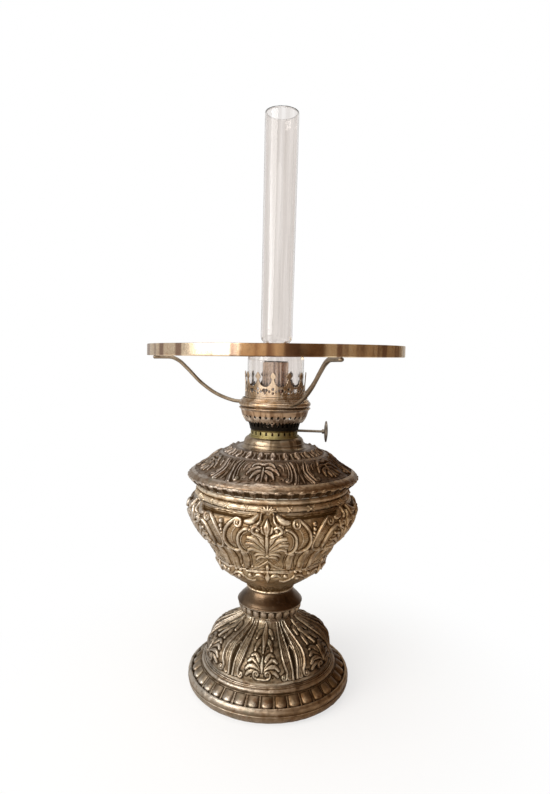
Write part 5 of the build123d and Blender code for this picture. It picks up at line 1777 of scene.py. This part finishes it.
@dataclass
class ShadeHolder(Assembly):
    """Domed collar, three arms and the upright band that the shade stands in.

    Attributes:
        tilt: Rise of the ring for each millimetre along x.
    """

    body: str = "shade_holder"
    tilt: float = 0.0154

    def build(self) -> None:
        """Builds the holder, whose ring sits a little askew."""
        self.collar()
        self.ring()
        arm = smooth_path(
            [
                (31.0, 271.6), (38, 272.0), (44, 273.5), (56.5, 278.6), (71, 288.6), (85.5, 302.9),
                (93, 309.6), (100, 312.9), (108, 313.4), (118.9, 313.5),
            ],
            80,
        )
        for name, azimuth in (("left_arm", 179.0), ("front_arm", -61.0), ("back_arm", 59.0)):
            bar = Bar(name + "_bar", arm, azimuth, (1.7, 1.75, 1.85), (2.2, 1.8, 2.4), self.tilt)
            self.settle(bar.build(), Metal.ARM.value, "arm_bronze", name)

    def collar(self) -> None:
        """Dome with two fine beads round its top."""
        outer = join(
            [(30.6, 267.7), (30.8, 268.5), (32.6, 268.7)],
            arc((33.1, 268.8), (34.0, 270.7), (33.2, 272.6), 16),
            arc((33.0, 272.8), (32.3, 273.2), (31.8, 273.3), 8),
            arc((31.8, 273.5), (32.1, 274.1), (31.4, 274.4), 6),
            arc((31.2, 274.5), (30.8, 274.8), (30.7, 275.2), 6),
            arc((30.8, 275.4), (31.0, 275.9), (30.4, 276.2), 6),
        )
        inner = [(29.8, 276.2), (29.8, 270.1), (29.8, 267.7)]
        lathe = Lathe("holder_dome", outer, inner, steps=64, sides=192)
        self.settle(lathe.build(), Metal.ROSE.value, "rose_brass", "holder_collar")

    def ring(self) -> None:
        """Thin upright band with a turned-in lower edge, tipped a little about the line of sight."""
        outer = join(
            [(118.0, 315.2), (118.4, 315.2)],
            arc((118.5, 315.3), (118.9, 315.7), (118.97, 316.4), 6),
            [(118.97, 325.0), (118.7, 325.4)],
        )
        inner = [(118.1, 325.4), (118.0, 325.0), (118.0, 315.6)]
        piece = Lathe("ring_band", outer, inner, steps=24, sides=288).build()
        places = np.empty(3 * len(piece.data.vertices), dtype=np.float32)
        piece.data.vertices.foreach_get("co", places)
        places = places.reshape(-1, 3)
        places[:, 2] += self.tilt * places[:, 0]
        piece.data.vertices.foreach_set("co", places.ravel())
        piece.data.update()
        self.settle(piece, Metal.BAND.value, "ring_bronze", "shade_ring")


@dataclass
class Chimney(Assembly):
    """Blown glass chimney with a wide foot, a drawn-in neck and a long tube.

    Attributes:
        wall: Thickness of the glass.
    """

    body: str = "glass"
    wall: float = 1.5

    def build(self) -> None:
        """Builds the chimney."""
        neck = [
            (26.6, 312.4), (25.4, 316.4), (21.4, 319.8), (16.0, 322.2), (12.6, 324.2), (11.6, 326.2),
            (12.4, 328.4), (14.0, 330.2), (14.8, 333.0), (14.85, 338),
        ]
        outer = join(
            [(26.5, 280.8), (26.6, 281.4), (26.6, 311.6)],
            smooth_path(neck, 40),
            [(14.9, 346), (15.7, 537.2), (15.5, 537.8)],
        )
        inner = outer[::-1] - np.asarray([self.wall, 0.0])
        lathe = Lathe("glass_chimney", outer, inner, steps=120, sides=144, inner_steps=120)
        self.settle(lathe.build(), Glass(), "clear_glass", "chimney")


@dataclass(frozen=True)
class Studio:
    """Camera, soft light, pale floor and white surroundings.

    Attributes:
        eye: Height of the camera.
        distance: Its distance from the lamp's axis.
        azimuth: Degrees by which it stands to the right of the front.
        pitch: Degrees by which it looks down.
        roll: Degrees by which it is tipped.
        lens: Focal length on a frame 36 mm tall.
        aim: Point in metres that the lights face.
        floor_half: Half the length of the floor's side.
        floor_level: Height of the floor.
    """

    eye: float = 317.8
    distance: float = 549.0
    azimuth: float = 4.0
    pitch: float = 4.29
    roll: float = 1.46
    lens: float = 26.3
    aim: Triple = (0, 0, 0.25)
    floor_half: float = 4e3
    floor_level: float = -0.2

    def camera(self) -> None:
        """Places the camera: turned to its azimuth, tipped down by its pitch and rolled about its axis."""
        data = bpy.data.cameras.new("camera")
        data.sensor_fit = "VERTICAL"
        data.sensor_height = 36.0
        data.lens = self.lens
        data.clip_start = 0.01
        camera = bpy.data.objects.new("camera", data)
        side = math.radians(self.azimuth)
        away = self.distance * MM
        place = Matrix.Translation((away * math.sin(side), -away * math.cos(side), self.eye * MM))
        turn = Matrix.Rotation(side, 4, "Z") @ Matrix.Rotation(math.radians(90 - self.pitch), 4, "X")
        camera.matrix_world = place @ turn @ Matrix.Rotation(math.radians(self.roll), 4, "Z")
        bpy.context.scene.collection.objects.link(camera)
        bpy.context.scene.camera = camera

    def lamp(self, name: str, place: Triple, size: float, power: float, colour: Colour) -> None:
        """Adds a square soft light that points at the middle of the oil lamp.

        Args:
            name: Its name.
            place: Where it stands, in metres.
            size: Length of its side in metres.
            power: Its power in watts.
            colour: Its colour.
        """
        data = bpy.data.lights.new(name, "AREA")
        data.size = size
        data.energy = power
        data.color = colour
        lamp = bpy.data.objects.new(name, data)
        lamp.location = place
        lamp.visible_transmission = False
        x, y, z = np.asarray(self.aim) - np.asarray(place)
        lamp.rotation_euler = (math.atan2(math.hypot(x, y), -z), 0, math.atan2(-x, y))
        bpy.context.scene.collection.objects.link(lamp)

    def card(self, name: str, corners: Sequence[Triple], colour: Colour) -> None:
        """Adds a dark card beside the lamp that only shows in reflections and shade.

        Args:
            name: Its name.
            corners: Its four corners in metres.
            colour: Its colour.
        """
        card = make_object(name, np.asarray(corners) / MM, np.asarray([[0, 1, 2, 3]]))
        material, sheet = new_material(name)
        darker = tuple(0.6 * part for part in colour)
        patched = sheet.blend(sheet.noise(300.0, 2.0), colour, darker)
        sheet.surface("ShaderNodeBsdfDiffuse", {"Color": patched})
        card.data.materials.append(material)
        card.visible_camera = False
        card.visible_transmission = False

    def floor(self) -> None:
        """Pale floor that keeps the lamp's shadow and runs out to white."""
        half, level = self.floor_half, self.floor_level
        corners = [(-half, -half, level), (half, -half, level), (half, half, level), (-half, half, level)]
        floor = make_object("floor", np.asarray(corners), np.asarray([[0, 1, 2, 3]]))
        material, sheet = new_material("pale_floor")
        seen = sheet.ray("Camera") + sheet.ray("Transmission")
        away = sheet.node("ShaderNodeVectorMath", {"operation": "LENGTH"}, {0: sheet.place()}, output="Value")
        paint = sheet.node("ShaderNodeBsdfDiffuse", {}, {"Color": (0.9, 0.89, 0.88)})
        white = sheet.node("ShaderNodeEmission", {}, {"Color": WHITE, "Strength": 1.0})
        share = seen.at_most(1.0) * (0.7 + 0.3 * away.between(0.08, 0.3))
        sheet.surface("ShaderNodeMixShader", {0: share, 1: paint, 2: white})
        floor.data.materials.append(material)

    def surroundings(self) -> None:
        """White to the camera and in reflections and glass, softer as light."""
        world = bpy.data.worlds.new("studio")
        world.use_nodes = True
        bpy.context.scene.world = world
        sheet = Sheet(world.node_tree)
        seen = sheet.ray("Camera") + sheet.ray("Transmission") + sheet.ray("Glossy") * 0.3
        soft = sheet.node("ShaderNodeBackground", {}, {"Color": (1.0, 0.95, 0.88), "Strength": 0.42})
        white = sheet.node("ShaderNodeBackground", {}, {"Color": WHITE, "Strength": 1.0})
        mixed = sheet.node("ShaderNodeMixShader", {}, {0: seen.at_most(1.0), 1: soft, 2: white})
        sheet.node("ShaderNodeOutputWorld", {}, {"Surface": mixed})

    def build(self) -> None:
        """Sets up the studio."""
        self.camera()
        self.lamp("key_light", (-1.2, -1.1, 0.9), 1.3, 30.0, (1.0, 0.98, 0.95))
        self.lamp("front_light", (-0.25, -1.7, 0.45), 1.1, 6.0, (1.0, 0.96, 0.9))
        self.lamp("top_light", (-0.2, -0.2, 1.9), 1.2, 12.0, WHITE)
        corners = [(0.6, -1.3, 0.0), (0.6, 0.7, 0.0), (0.6, 0.7, 1.3), (0.6, -1.3, 1.3)]
        self.card("right_card", corners, (0.2, 0.13, 0.08))
        self.floor()
        self.surroundings()
        bpy.context.scene.view_settings.view_transform = "Standard"


def main() -> None:
    """Builds the lamp, then the studio."""
    logging.basicConfig(level=logging.INFO, format="%(message)s")
    finishes = Finishes()
    for assembly in (Stand, Font, Burner, ShadeHolder, Chimney):
        assembly(finishes).build()
    Studio().build()


if __name__ == "__main__":
    main()
